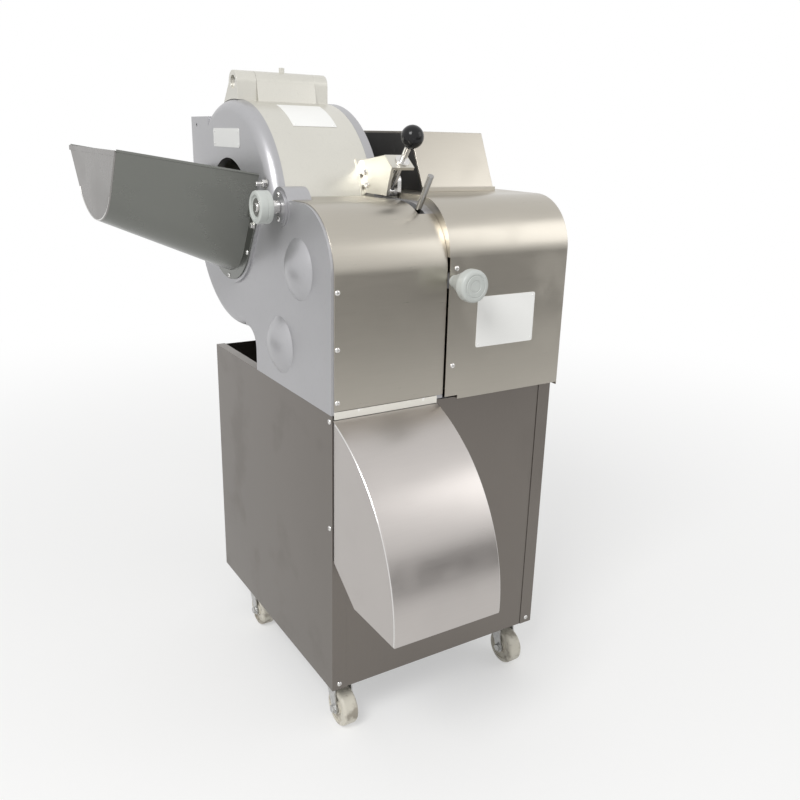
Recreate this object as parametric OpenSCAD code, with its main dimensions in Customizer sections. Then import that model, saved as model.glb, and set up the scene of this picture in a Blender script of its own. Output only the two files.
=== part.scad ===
// Industrial vegetable dicer: a drum slicer with disc and cross-cut knife shafts on a wheeled steel cabinet.
// Local frame of every piece: x runs left to right, y front to back, z up, from the cabinet's
// front left bottom corner. place() moves that corner so that the origin is on the floor,
// under the middle of the cabinet.

/* [Cabinet] */
// Width of the cabinet
cab_w = 495; // [480:5:540]
// Depth of the cabinet
cab_d = 575; // [560:5:620]
// Height of the cabinet panels
cab_h = 560; // [540:5:600]
// Thickness of the sheet steel panels and covers
sheet = 1.5; // [1:0.1:2]
// Width of the folded front edges of the side panels
fold_w = 30; // [20:1:34]
// Width of the folded top edges of the side panels
top_fold = 20; // [16:1:26]
// Leg width of the frame's angle iron
angle_leg = 25; // [22:1:28]
// Thickness of the frame's angle iron
angle_t = 3; // [2:0.5:4]

/* [Casters] */
// Height of the cabinet's underside above the floor
caster_h = 105; // [100:1:120]
// Diameter of a caster wheel
wheel_d = 75; // [60:1:80]
// Width of a caster wheel
wheel_w = 32; // [24:1:36]
// Distance of the swivel pins from the cabinet's sides
caster_side = 40; // [36:1:50]
// Distance of the front swivel pins from the cabinet's front
caster_front = 53; // [48:1:60]
// Distance of the rear swivel pins from the cabinet's back
caster_rear = 113; // [60:1:130]
// Distance of the wheel axle from its swivel pin
trail = 22; // [16:1:26]

/* [Cutting head] */
// Thickness of the cast left plate
plate_t = 16; // [12:1:20]
// Distance from the left plate's outer face to the right wall's inner face
head_w = 213; // [208:1:230]
// Thickness of the cast right wall
wall_t = 18; // [16:1:22]
// Setback of the castings' front edge from the cabinet's front
head_y = 3; // [2:0.5:6]
// Height of the castings' flat top above the cabinet
head_h = 349; // [340:1:356]
// Radius of the castings' front top corner
corner_r = 112; // [90:1:116]
// Distance of the castings' foot end from the cabinet's front
foot_y = 334; // [325:1:340]
// Radius of the hollow between foot and drum
neck_r = 40; // [30:1:50]

/* [Drum] */
// Distance of the drum's axis from the cabinet's front
drum_y = 455; // [450:1:462]
// Height of the drum's axis above the cabinet
drum_z = 297; // [294:1:304]
// Outer radius of the drum
drum_r = 225; // [222:1:227]
// Thickness of the drum shell
drum_t = 8; // [6:0.5:10]
// Radius of the rounding around the left plate's rim
rim_r = 22; // [14:1:26]
// Depth of the left plate's rim
rim_w = 28; // [26:1:32]
// Radius of the feed hole
feed_r = 115; // [105:1:120]
// Angle of the door's lower edge above the drum's axis
door_low = 12; // [10:1:16]
// Angle of the slicing edge below the drum's axis
knife_low = 8; // [6:1:10]
// Angle of the drum shell's front end below the drum's axis
shell_low = 25; // [20:1:28]
// Gap between the paddle wheel and the drum shell
paddle_gap = 7; // [5:1:15]
// Count of paddles
paddle_n = 3; // [2:1:4]

/* [Hinge and clamp] */
// Height of the door hinge's pin above the drum's top
hinge_up = 33; // [30:1:38]
// Radius of the hinge barrels
barrel_r = 22; // [18:1:24]
// Radius of the hinge pin
pin_r = 10; // [8:0.5:11]
// Width of the left hinge lug
lug_w = 41; // [34:1:46]
// Width of the right hinge lug
lug_w2 = 29; // [24:1:34]
// Distance of the clamp's nut from the cabinet's front
nut_y = 193; // [190:1:196]
// Height of the clamp's nut above the castings' flat top
nut_up = 12; // [11:1:15]
// Radius of the clamp screw
rod_r = 6; // [5:0.5:7]
// Distance of the clamp flap from the nut
flap_at = 64; // [58:1:70]
// Radius of the ball knob
ball_r = 21; // [18:1:24]

/* [Knife shafts] */
// Distance of the cross-cut shaft from the cabinet's front
cross_y = 213; // [210:1:216]
// Height of the cross-cut shaft above the cabinet
cross_z = 80; // [79:1:84]
// Lean of the disc shaft to the front of the cross-cut shaft
disc_lean = 29; // [27:1:31]
// Radius of both knife shafts
shaft_r = 20; // [16:1:22]
// Radius of the disc blades
disc_r = 80; // [70:1:82]
// Radius of the cross-cut knives
cross_r = 75; // [66:1:77]
// Distance from one disc blade to the next
blade_pitch = 12; // [10:1:16]
// Thickness of the blades
blade_t = 2; // [1.5:0.5:3]
// Count of cross-cut knives
cross_n = 8; // [4:1:10]

/* [Drive] */
// Tooth size of the gears
gear_m = 5.5; // [5.4:0.1:5.6]
// Teeth of the main, disc and cross-cut gears
gear_teeth = 32; // [32:1:32]
// Width of the gears
gear_w = 20; // [14:1:22]
// Radius of the main pulley
pulley_r = 130; // [110:1:135]
// Radius of the motor pulley
drive_r = 45; // [40:1:55]
// Count of belts
belt_n = 3; // [2:1:3]
// Distance of the motor shaft from the cabinet's front
motor_y = 380; // [360:1:390]
// Height of the motor shaft above the cabinet's underside
motor_z = 148; // [144:1:160]
// Radius of the motor body
motor_r = 85; // [75:1:90]
// Radius of the main shaft
main_r = 22; // [18:1:26]

/* [Covers] */
// Overhang of the motor cover past the cabinet's right side
cover_over = 13; // [10:1:18]
// Height of the motor cover's top above the cabinet
cover_h = 360; // [357:1:370]
// Radius of the motor cover's front top corner
cover_r = 100; // [80:1:110]
// Distance of the motor cover's back from the cabinet's front
cover_y = 625; // [615:1:640]
// Distance of the hood's left side from the head's left face
hood_x = 285; // [282:1:287]
// Width of the hood
hood_w = 171; // [165:1:180]
// Height of the hood above the motor cover
hood_h = 111; // [100:1:120]

/* [Trough and chute] */
// Length of the trough
trough_l = 250; // [220:1:280]
// Rise angle of the trough's floor
trough_rise = 23; // [20:1:25]
// Radius of the trough's floor
trough_r = 104; // [95:1:106]
// Lean of the trough's walls
trough_lean = 32; // [28:1:36]
// Height of the trough's top edge above the drum's axis at the head
trough_top = 89; // [80:1:95]
// Slope of the trough's top edge
trough_slope = 8.9; // [7:0.1:10]
// Width of the discharge chute
chute_w = 216; // [205:1:216]
// Radius of the chute's front
chute_r = 333; // [325:1:340]
// Reach of the chute in front of the cabinet
chute_out = 216; // [200:1:225]
// Height of the chute's mouth above the cabinet's underside
chute_z = 226; // [215:1:240]
// Slope of the chute's floor
chute_slope = 35; // [32:1:38]

/* [Hidden] */
$fn = 64;

// Clearances: turning fit, pressed fit, gap between moving pieces, gap between seated sheets
fit = 0.05;
press = 0.02;
gap = 0.3;
seat = 0.2;
// Reach of cutting solids past a face
over = 10;
big = 2000;

// Right wall's two faces
wall_x = head_w;
wall_x1 = head_w + wall_t;
// Heights of the cabinet top and the castings' flat top
top_z = cab_h;
head_z = cab_h + head_h;

// Drum axis, knife shafts and gear centres, each as [y, z]
drum_at = [drum_y, cab_h + drum_z];
cross_at = [cross_y, cab_h + cross_z];
gear_r = gear_m * gear_teeth / 2;
disc_at = cross_at + 2 * gear_r * [-sin(disc_lean), cos(disc_lean)];
span = drum_at - cross_at;
span_l = norm(span);
idler_teeth = ceil(span_l / gear_m - gear_teeth);
idler_r = gear_m * idler_teeth / 2;
idler_off = sqrt(pow(gear_r + idler_r, 2) - pow(span_l / 2, 2));
idler_at = (drum_at + cross_at) / 2 + idler_off * [span[1], -span[0]] / span_l;

// Turn of each gear that brings its teeth between its neighbour's
function toward(a, b) = atan2(b[1] - a[1], b[0] - a[0]);
function mesh_turn(a, turn, z, b, z2) =
  toward(a, b) + 180 + ((toward(a, b) - turn) * z / 360 - 0.5) * 360 / z2;
cross_turn = 0;
disc_turn = mesh_turn(cross_at, cross_turn, gear_teeth, disc_at, gear_teeth);
idler_turn = mesh_turn(cross_at, cross_turn, gear_teeth, idler_at, idler_teeth);
main_turn = mesh_turn(idler_at, idler_turn, idler_teeth, drum_at, gear_teeth);
// Tooth height above and below the pitch line, thickness there and flank slope
tooth_up = 0.8 * gear_m;
tooth_down = 1.1 * gear_m;
tooth_w = 1.32 * gear_m;
flank = tan(20);

// Paddle wheel inside the drum
paddle_r = drum_r - drum_t - paddle_gap;

// Bearings of the shafts and the housing that carries the main shaft
bearing_r = shaft_r + 16;
bearing_w = 14;
main_bearing_r = main_r + 20;
housing_r = main_bearing_r + 8;
housing_flange = min(housing_r + 10, cover_h - drum_z - sheet - 2);
housing_l = 55;
housing_x1 = wall_x1 + housing_l;
// Gear plane and pulley plane
gear_x = housing_x1 + 8;
pulley_x = gear_x + gear_w + 22;
groove_w = 14;
groove_d = 12;
groove_rim = 4;
pulley_w = belt_n * (groove_w + groove_rim) + groove_rim;
shaft_end = 6;
shaft_x1 = gear_x + gear_w + shaft_end;
main_x1 = pulley_x + pulley_w + shaft_end;
motor_at = [motor_y, motor_z];

// Door hinge axis, clamp nut and the clamp screw's direction, square to the line from the hinge
hinge_at = [drum_y - 2, drum_at[1] + drum_r + hinge_up];
nut_at = [nut_y, head_z + nut_up];
nut_arm = nut_at - hinge_at;
rod_dir = [nut_arm[1], -nut_arm[0]] / norm(nut_arm);
rod_lean = atan2(-rod_dir[0], rod_dir[1]);
nut_r = 10;
clamp_x = wall_x1 - 7.5;
post_t = 8;
flap_t = 6;
washer_t = 3;
ball_at = flap_at + 60;
rod_top = ball_at - 2;
lug_x = rim_w - 13;
barrel_x0 = lug_x + lug_w;
barrel_x1 = wall_x - 1 - lug_w2;

// Thickness gate's shaft and plate
gate_at = [drum_y - drum_r - 32, head_z - 13];
gate_r = 9;
gate_end = -44;
gate_t = 5;
boss_r = 35;
boss_up = 2;
boss_face = 5;
boss_x1 = 45;
gate_x0 = boss_x1 + 2;
knob_r = 29;

// Lever and comb, which turn about the disc shaft
comb_r = bearing_r + 8;
lever_r = 5.5;
lever_x = wall_x - 9;
lever_lean = 32;
lever_l = 193;
comb_x0 = wall_x - 14;
comb_w = 12;
comb_turn = 210;
comb_out = disc_r + 16;
ring_t = 9;
arm_w = 18;
spacer_r = shaft_r + 14;

// Blade row between the plates
row_x0 = rim_w + 12;
row_x1 = comb_x0 - 6;
blade_n = floor((row_x1 - row_x0 - blade_t) / blade_pitch) + 1;

// Knife cover and its cut-outs for the clamp and the lock knob
cover_x0 = 5;
cover_x1 = wall_x1 - seat;
cover_z0 = top_z + 7;
cover_y1 = drum_y - drum_r - 3;
notch_x = wall_x - 16;
notch_y = 52;

// Motor cover and hood
mc_x1 = cab_w + cover_over;
mc_z0 = top_z - 10;
mc_z1 = top_z + cover_h;
lip_w = 36;
cover_back_r = 30;
fk_x = wall_x1 + 11;
fk_z = top_z + 218;

// Chute outline and the centre of its round front
chute_x0 = sheet + 0.5;
chute_at = [chute_r - chute_out, chute_z + 14];
chute_y1 = foot_y - 34;
chute_top = top_z - 8;
throat_z = chute_z + 56;
throat_y = (throat_z - chute_z) / tan(chute_slope);

// Caster layout
caster_spots = [
  [caster_side, caster_front], [cab_w - caster_side, caster_front],
  [caster_side, cab_d - caster_rear], [cab_w - caster_side, cab_d - caster_rear]
];
axle_r = 5;
stem_r = 8;
pad_t = 4;
fork_t = 3;
wheel_z = wheel_d / 2 - caster_h;

// Moves a piece from the cabinet's corner to the floor under the cabinet's middle
module place() translate([-cab_w / 2, -cab_d / 2, caster_h]) children();

// Extrudes an outline drawn in y and z along x
module yz(x0, x1) translate([x0, 0, 0]) rotate([90, 0, 90]) linear_extrude(x1 - x0) children();

// Round bar along x
module rod_x(x0, x1, at, r) translate([x0, at[0], at[1]]) rotate([0, 90, 0]) cylinder(h = x1 - x0, r = r);

// Box from one corner to the other
module box(a, b) translate(a) cube(b - a);

// Points along an arc, and the wedge of a plane between two angles
function arc(at, r, a0, a1, n) =
  [for (i = [0:n]) let (a = a0 + (a1 - a0) * i / n) at + r * [cos(a), sin(a)]];
module sector(a0, a1, r) polygon(concat([[0, 0]], arc([0, 0], r, a0, a1, ceil((a1 - a0) / 30))));

// Band of a ring between two angles
module band(r0, r1, a0, a1) intersection() {
  difference() {
    circle(r1, $fn = 96);
    circle(r0, $fn = 96);
  }
  sector(a0, a1, 2 * r1);
}

// Frame of one turning axis in the y and z plane
module at_axis(at) translate([0, at[0], at[1]]) children();

// Colours of the finishes
steel = "#b9b7b0";
casting = "#a9a8b4";
bright = "#d4d3cf";
dark = "#3a3b3d";
pale = "#d8d3c4";
nylon = "#e6dfc8";

// Frame of angle iron: bottom ring, corner posts, top rails and the bearer under the right wall
post_gap = 12;
bearer_h = 40;
module base_frame() color(dark) place() {
  a = [sheet, 2 * sheet, 0];
  b = [cab_w - sheet, cab_d - sheet, angle_leg];
  bearer_x = chute_x0 + chute_w + 1;
  rail_z = top_z - angle_leg;
  difference() {
    box(a, b);
    box(a + [angle_t, angle_t, angle_t], b + [-angle_t, -angle_t, over]);
    box(a + [angle_leg, angle_leg, -over], b + [-angle_leg, -angle_leg, over]);
  }
  for (sx = [0, 1], sy = [0, 1]) {
    short = sx == 0 && sy == 0;
    corner = [sx ? b[0] : a[0], sy ? b[1] : a[1], 0];
    translate(corner) mirror([sx, 0, 0]) mirror([0, sy, 0])
      corner_post(angle_leg - angle_t, short ? throat_z - post_gap : top_z - sheet - seat);
  }
  bearer(bearer_x, a[1], b[1]);
  for (sy = [0, 1])
    translate([0, sy ? b[1] : a[1], 0]) mirror([0, sy, 0]) {
      box([bearer_x, 0, rail_z], [b[0], angle_t, top_z - sheet - seat]);
      box([bearer_x, 0, rail_z], [b[0], angle_leg, rail_z + angle_t]);
    }
}

// Upright angle in a corner of the frame
module corner_post(z0, z1) {
  box([0, 0, z0], [angle_leg, angle_t, z1]);
  box([0, 0, z0], [angle_t, angle_leg, z1]);
}

// Angle under the right wall's foot
module bearer(x, y0, y1) {
  box([x, y0, top_z - bearer_h], [x + angle_t, y1, top_z]);
  box([x, y0, top_z - angle_t], [x + angle_leg, y1, top_z]);
}

// Left panel with its folded front and top edges; the front fold ends below the chute
module cabinet_left_panel() color(steel) place() {
  box([0, 0, 0], [sheet, cab_d, top_z]);
  box([0, 0, 0], [fold_w, sheet, throat_z - seat]);
  box([0, head_y + 1, top_z - sheet], [top_fold, cab_d, top_z]);
}

// Right panel with its folded front and top edges
module cabinet_right_panel() color(steel) place() {
  box([cab_w - sheet, 0, 0], [cab_w, cab_d, top_z]);
  box([cab_w - fold_w, 0, 0], [cab_w, sheet, top_z]);
  box([cab_w - top_fold, 0, top_z - sheet], [cab_w, cab_d, top_z]);
}

// Front panel behind the folded edges, cut out around the chute
module cabinet_front_panel() color(steel) place() difference() {
  box([sheet, sheet, 0], [cab_w - sheet, 2 * sheet, top_z - sheet]);
  box([0, 0, throat_z], [chute_x0 + chute_w + seat, over, top_z + over]);
}

// Back panel with two columns of cooling slots and the hole for the cable gland
vent_n = 6;
vent_side = 148;
vent_z = 140;
vent_pitch = 22;
vent_w = 70;
vent_h = 6;
module cabinet_back_panel() color(steel) place() difference() {
  box([sheet, cab_d - sheet, 0], [cab_w - sheet, cab_d, top_z - sheet]);
  for (x = [vent_side, cab_w - vent_side], i = [0:vent_n - 1])
    translate([x, cab_d, vent_z + vent_pitch * i]) cube([vent_w, 4 * sheet, vent_h], center = true);
  gland_axis() cylinder(h = 4 * over, r = gland_r, center = true);
}

// Gland for the supply cable, low on the back panel
gland_side = 80;
gland_z = 70;
gland_r = 12;
gland_bore = 7;
gland_nut = 18;
gland_nut_h = 6;
gland_in = 12;
gland_cap_r = 15;
gland_cap_h = 18;
module gland_axis() translate([cab_w - gland_side, cab_d, gland_z]) rotate([-90, 0, 0]) children();
module cable_gland() color(dark) place() gland_axis() difference() {
  union() {
    translate([0, 0, -gland_in]) cylinder(h = gland_in + gland_nut_h, r = gland_r - seat);
    cylinder(h = gland_nut_h, r = gland_nut, $fn = 6);
    translate([0, 0, -sheet - gland_nut_h]) cylinder(h = gland_nut_h, r = gland_nut, $fn = 6);
    translate([0, 0, gland_nut_h]) cylinder(h = gland_cap_h, r = gland_cap_r);
  }
  cylinder(h = 4 * (gland_in + gland_nut_h + gland_cap_h), r = gland_bore, center = true);
}

// Plate across the bottom ring that carries the motor
motor_x0 = 60;
motor_x1 = pulley_x - 26;
bed_z = angle_leg;
bed_t = 8;
module motor_plate() color(dark) place()
  box([motor_x0, 2 * sheet, bed_z], [motor_x1, cab_d - sheet, bed_z + bed_t]);

// Motor with cooling ribs, end shield, fan cowl, feet and terminal box
motor_shaft_r = 14;
motor_bore = 60;
cowl_l = 60;
shield_l = 22;
rib_n = 18;
rib_h = 8;
rib_t = 3;
foot_l = 36;
foot_in = 24;
terminal_w = 90;
terminal_h = 40;
module motor_body() color("#6f7a86") place() difference() {
  rib_x = [motor_x0 + cowl_l, motor_x1 - shield_l];
  core_r = motor_r - rib_h;
  union() {
    rod_x(rib_x[0], motor_x1, motor_at, core_r);
    rod_x(motor_x0, rib_x[0] + 1, motor_at, motor_r - 2);
    rod_x(rib_x[1], motor_x1, motor_at, motor_r);
    for (i = [0:rib_n - 1]) at_axis(motor_at) rotate([(i + 0.5) * 360 / rib_n, 0, 0])
      box([rib_x[0], -rib_t / 2, core_r - rib_t], [rib_x[1] + 1, rib_t / 2, motor_r]);
    for (x = [rib_x[0] + foot_in, rib_x[1] - foot_in - foot_l])
      box([x, motor_y - motor_r, bed_z + bed_t], [x + foot_l, motor_y + motor_r, motor_z - core_r + foot_in]);
    translate([(rib_x[0] + rib_x[1]) / 2, motor_y, motor_z + motor_r])
      box([-terminal_w / 2, -terminal_w / 2, -terminal_h / 2], [terminal_w / 2, terminal_w / 2, terminal_h]);
  }
  rod_x(motor_x1 - motor_bore, motor_x1 + over, motor_at, motor_shaft_r + fit);
}

// Belts as closed loops: an arc round each pulley and two straight runs between the arcs' ends
belt_h = 9;
belt_gap = 0.4;
belt_steps = 48;
module loop_outline(r1, r2) {
  d = drum_at - motor_at;
  lean = asin((r1 - r2) / norm(d));
  translate(motor_at) rotate(atan2(d[1], d[0])) polygon(concat(
    arc([0, 0], r2, 90 + lean, 270 - lean, belt_steps),
    arc([norm(d), 0], r1, -90 - lean, 90 + lean, belt_steps)
  ));
}
module drive_belts() color("#26272a") place() for (i = [0:belt_n - 1]) {
  x = groove_at(i);
  r1 = pulley_r - groove_d + belt_gap;
  r2 = drive_r - groove_d + belt_gap;
  yz(x + belt_gap, x + groove_w - belt_gap) difference() {
    loop_outline(r1 + belt_h, r2 + belt_h);
    loop_outline(r1, r2);
  }
}

// Box part of the castings' outline, with the hollow that leads into the drum's circle
module box_outline(r) {
  neck = [foot_y + neck_r, drum_at[1] - sqrt(pow(r + neck_r, 2) - pow(foot_y + neck_r - drum_y, 2))];
  touch = drum_at + r * (neck - drum_at) / norm(neck - drum_at);
  translate([head_y, top_z]) square([foot_y - head_y, head_h - corner_r]);
  translate([head_y + corner_r, top_z]) square([foot_y - head_y - corner_r, head_h]);
  translate(corner_at) circle(corner_r, $fn = 96);
  difference() {
    polygon([[foot_y - 1, neck[1]], neck, touch, drum_at, [foot_y - 1, drum_at[1]]]);
    translate(neck) circle(neck_r);
  }
}
corner_at = [head_y + corner_r, head_z - corner_r];

// Trough outline about the drum's axis: round floor and walls that lean outward from its ends
trough_steps = 32;
module trough_outline(r, h) {
  half = r * cos(trough_lean) + (h + r * sin(trough_lean)) * tan(trough_lean);
  polygon(concat(arc([0, 0], r, trough_lean - 180, -trough_lean, trough_steps), [[half, h], [-half, h]]));
}
module cut_above(h) intersection() {
  children();
  translate([-big / 2, h - big]) square(big);
}

// Cast left plate: flat box part, drum side with a rounded rim, seat for the trough, boss and lifting ear
seat_t = 4;
seat_edge = 7;
rim_out = drum_r + 1;
ear_from = [110, 70];
ear_to = [217, 194];
ear_t = 10;
ear_hole = [183, 177];
ear_hole_r = 3.5;
module rim_profile() {
  square([rim_out - rim_r, plate_t]);
  intersection() {
    translate([rim_out - rim_r, rim_r]) circle(rim_r);
    square([rim_out, rim_r]);
  }
  translate([rim_out - rim_r, rim_r - 1]) square([rim_r, rim_w - rim_r + 1]);
}
module left_side_plate() color(casting) place() difference() {
  union() {
    yz(0, plate_t) box_outline(rim_out);
    at_axis(drum_at) rotate([0, 90, 0]) rotate_extrude($fn = 96) rim_profile();
    yz(-seat_t, 1) translate(drum_at) cut_above(flange_top + seat_edge)
      trough_outline(trough_r + flange_w + seat_edge, wall_reach);
    rod_x(-boss_up, boss_x1, gate_at, boss_r);
    rod_x(-boss_face, 0, gate_at, boss_r - 7);
    yz(0, ear_t) translate(drum_at + ear_from) square(ear_to - ear_from);
  }
  rod_x(-big, big, drum_at, feed_r);
  for (at = [disc_at, cross_at]) rod_x(-over, plate_t + over, at, bearing_r + press);
  rod_x(-over, boss_x1 + over, gate_at, gate_r + fit);
  rod_x(-over, ear_t + over, drum_at + ear_hole, ear_hole_r);
}

// Domed caps over the left bearings
cap_r = 55;
cap_h = 20;
module bearing_caps() color(casting) place() for (at = [disc_at, cross_at]) {
  ball = (cap_r * cap_r + cap_h * cap_h) / (2 * cap_h);
  at_axis(at) intersection() {
    translate([ball - cap_h, 0, 0]) sphere(ball, $fn = 96);
    box([-cap_h - 1, -cap_r - 1, -cap_r - 1], [0, cap_r + 1, cap_r + 1]);
  }
}

// Cast right wall with bearing bores, the comb's ring, the gate's socket and the lug for the front knob
module right_side_wall() color(casting) place() difference() {
  union() {
    yz(wall_x, wall_x1) {
      box_outline(drum_r);
      translate(drum_at) circle(drum_r, $fn = 96);
    }
    rod_x(wall_x - 15, wall_x + 1, disc_at, comb_r);
    box([wall_x1 - 1, head_y, fk_z - 14], [fk_x + 11, head_y + 20, fk_z + 14]);
  }
  rod_x(wall_x - over, wall_x1 + over, drum_at, main_r + 6);
  for (at = [disc_at, cross_at]) rod_x(wall_x - 2 * over, wall_x1 + over, at, bearing_r + press);
  rod_x(wall_x - over, wall_x + 8, gate_at, gate_r + fit);
  front_knob_axis() cylinder(h = 100, r = rod_r + fit, center = true);
}

// Fixed part of the drum: two tongues of it reach past the crown and carry the hinge lugs
shell_top = 89.6;
door_top = 90.4;
tongue_top = 97.6;
notch_top = 98;
lug_turn = 14;
counterbore = 5;
module drum_shell() color(bright) place() difference() {
  union() {
    yz(rim_w, wall_x) translate(drum_at) band(drum_r - drum_t, drum_r, shell_low - 180, tongue_top);
    for (x = [[lug_x, barrel_x0], [barrel_x1, wall_x - 1]]) yz(x[0], x[1]) hinge_lug();
  }
  yz(barrel_x0, barrel_x1) translate(drum_at) sector(shell_top, shell_top + 30, 2 * drum_r);
  rod_x(-over, wall_x + over, hinge_at, pin_r + press);
  rod_x(-over, lug_x + counterbore, hinge_at, pin_r + 2.5);
  rod_x(-over, rim_w, drum_at, rim_out + seat);
}

// Outline of a hinge lug: round top, upright front and a back that slopes down to the drum
module hinge_lug() {
  front = hinge_at[0] - barrel_r;
  r = drum_r - 1;
  polygon(concat(
    arc(hinge_at, barrel_r, 0, 180, 24),
    [[front, drum_at[1] + sqrt(r * r - pow(front - drum_y, 2))], drum_at + r * [sin(lug_turn), cos(lug_turn)]]
  ));
}

// Web from the door's hinge barrel down to its plate
leaf_turn = 8;
module hinge_leaf() polygon([
  hinge_at - [barrel_r, 0],
  drum_at + (drum_r - 1) * [-sin(leaf_turn), cos(leaf_turn)],
  drum_at + [-4, drum_r - 3],
  hinge_at + [-2, 3 - barrel_r]
]);

// Pin through the lugs and the door's barrel
module hinge_pin() color(bright) place() rod_x(lug_x + counterbore, wall_x - 1, hinge_at, pin_r);

// Strip on which the closed door's lower edge rests
module ledge_strip() color(steel) place() {
  y1 = drum_y - drum_r + 2;
  z = head_z - 10;
  box([boss_x1 + 1, y1 - 22, z], [wall_x, y1, z + 2.5]);
  box([boss_x1 + 1, y1 - 22, z - 6], [wall_x, y1 - 19.5, z + 1]);
}

// Sheet cover over the knives, bent over the castings' front corner, cut out at the clamp and the lock knob
module knife_cover() color(steel) place() difference() {
  yz(cover_x0, cover_x1) {
    translate([head_y - sheet, cover_z0]) square([sheet, corner_at[1] - cover_z0]);
    translate(corner_at) band(corner_r, corner_r + sheet, 90, 180);
    translate([corner_at[0], head_z]) square([cover_y1 - corner_at[0], sheet]);
  }
  box([notch_x, notch_y, corner_at[1]], [cover_x1 + over, cover_y1 + over, head_z + over]);
  box([0, gate_at[0] - boss_r - 2, head_z - over], [boss_x1 + 2, cover_y1 + over, head_z + over]);
}

// Pale angle strip that closes the gap between the knife cover and the chute
module cover_flange() color(pale) place() {
  x1 = chute_x0 + chute_w;
  box([cover_x0, head_y - sheet, chute_top + seat], [x1, head_y, cover_z0 - 1]);
  box([cover_x0, head_y - 1, chute_top + seat], [x1, head_y + 16, chute_top + seat + sheet]);
}

// Outline of the motor cover in y and z, drawn smaller by a margin
module cover_outline(m) {
  y0 = m - head_y;
  y1 = cover_y - m;
  z1 = mc_z1 - m;
  r = cover_r - m;
  r2 = max(cover_back_r - m, 1);
  translate([y0, mc_z0]) square([y1 - y0, z1 - r - mc_z0]);
  translate([y0 + r, mc_z0]) square([y1 - r2 - y0 - r, z1 - mc_z0]);
  translate([y0 + r, z1 - r]) circle(r, $fn = 96);
  translate([y1 - r2 - 1, mc_z0]) square([r2 + 1, z1 - r2 - mc_z0]);
  translate([y1 - r2, z1 - r2]) circle(r2);
}

// Motor cover: folded shell over gears and pulley, standing on its inner lip
module motor_cover() color(steel) place() difference() {
  union() {
    difference() {
      yz(wall_x1, mc_x1) cover_outline(0);
      yz(wall_x1 + sheet, mc_x1 - sheet) cover_outline(sheet);
      box([wall_x1 + sheet, -over, mc_z0 - over], [mc_x1 - sheet, cover_y - sheet, mc_z0 + over / 2]);
    }
    difference() {
      box([wall_x1 + sheet, -head_y + sheet / 2, top_z],
        [mc_x1 - sheet / 2, cover_y - sheet / 2, top_z + sheet]);
      box([wall_x1 + lip_w, lip_w - head_y, top_z - 1], [cab_w - lip_w + over, cab_d - lip_w, top_z + over]);
    }
  }
  box([wall_x1 - 1, -big, mc_z0 - over], [wall_x1 + sheet + gap, head_y + 40, mc_z1 - cover_r]);
  box([wall_x1 - 1, -over, mc_z0 - over], [wall_x1 + 30, foot_y, top_z + sheet + 1]);
  box([wall_x1 - 1, -over, mc_z0 - over], [wall_x1 + sheet, cover_y - sheet, top_z]);
  box([wall_x1 - 1, nut_y - post_w / 2 - 5, head_z - post_down - 20],
    [wall_x1 + post_t + 4, nut_y + post_w / 2 + 5, mc_z1 + over]);
  rod_x(wall_x1 - 1, wall_x1 + sheet + 1, drum_at, housing_flange + 1);
  yz(wall_x1 - 1, wall_x1 + sheet + 1) intersection() {
    cover_outline(lip_w);
    union() {
      translate([0, mc_z0]) square([foot_y - 2 * over, mc_z1 - mc_z0]);
      translate(drum_at) circle(drum_r - 2 * over, $fn = 96);
    }
  }
  box([hood_x + 2, hood_y0 + 30, mc_z1 - over], [hood_x + hood_w - 2, hood_y1 - 8, mc_z1 + over]);
  front_knob_axis() cylinder(h = 60, r = rod_r + 1, center = true);
}

// Hood over the top of the main pulley, with a front that leans back
hood_y0 = 170;
hood_y1 = 605;
hood_lean = 52;
module hood_outline(m) {
  slope = hood_h / hood_lean;
  polygon([
    [hood_y0 + m * norm([1, slope]) / slope, mc_z1], [hood_y1 - m, mc_z1], [hood_y1 - m, mc_z1 + hood_h - m],
    [hood_y0 + m * norm([1, slope]) / slope + (hood_h - m) / slope, mc_z1 + hood_h - m]
  ]);
}
module hood() color(steel) place() difference() {
  yz(hood_x, hood_x + hood_w) hood_outline(0);
  translate([0, 0, -0.01]) yz(hood_x + sheet, hood_x + hood_w - sheet) hood_outline(sheet);
}

// Discharge chute: round front, sloping floor that reaches in under the knives, open top and open mouth
module chute_outline(m) {
  rise = m / cos(chute_slope);
  low = m > 0 ? chute_z - over : chute_z;
  lip = -throat_y - rise / tan(chute_slope);
  y1 = chute_y1 - m;
  intersection() {
    translate(chute_at) circle(chute_r - m, $fn = 128);
    polygon([[-big, low], [lip, low], [lip, chute_z], [0, throat_z + rise], [0, big], [-big, big]]);
  }
  polygon([
    [-0.01, throat_z + rise], [y1, throat_z + y1 * tan(chute_slope) + rise],
    [y1, chute_top + (m > 0 ? over : 0)], [-0.01, chute_top + (m > 0 ? over : 0)]
  ]);
}
module discharge_chute() color(steel) place() difference() {
  yz(chute_x0, chute_x0 + chute_w) chute_outline(0);
  yz(chute_x0 + sheet, chute_x0 + chute_w - sheet) chute_outline(sheet);
}

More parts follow.
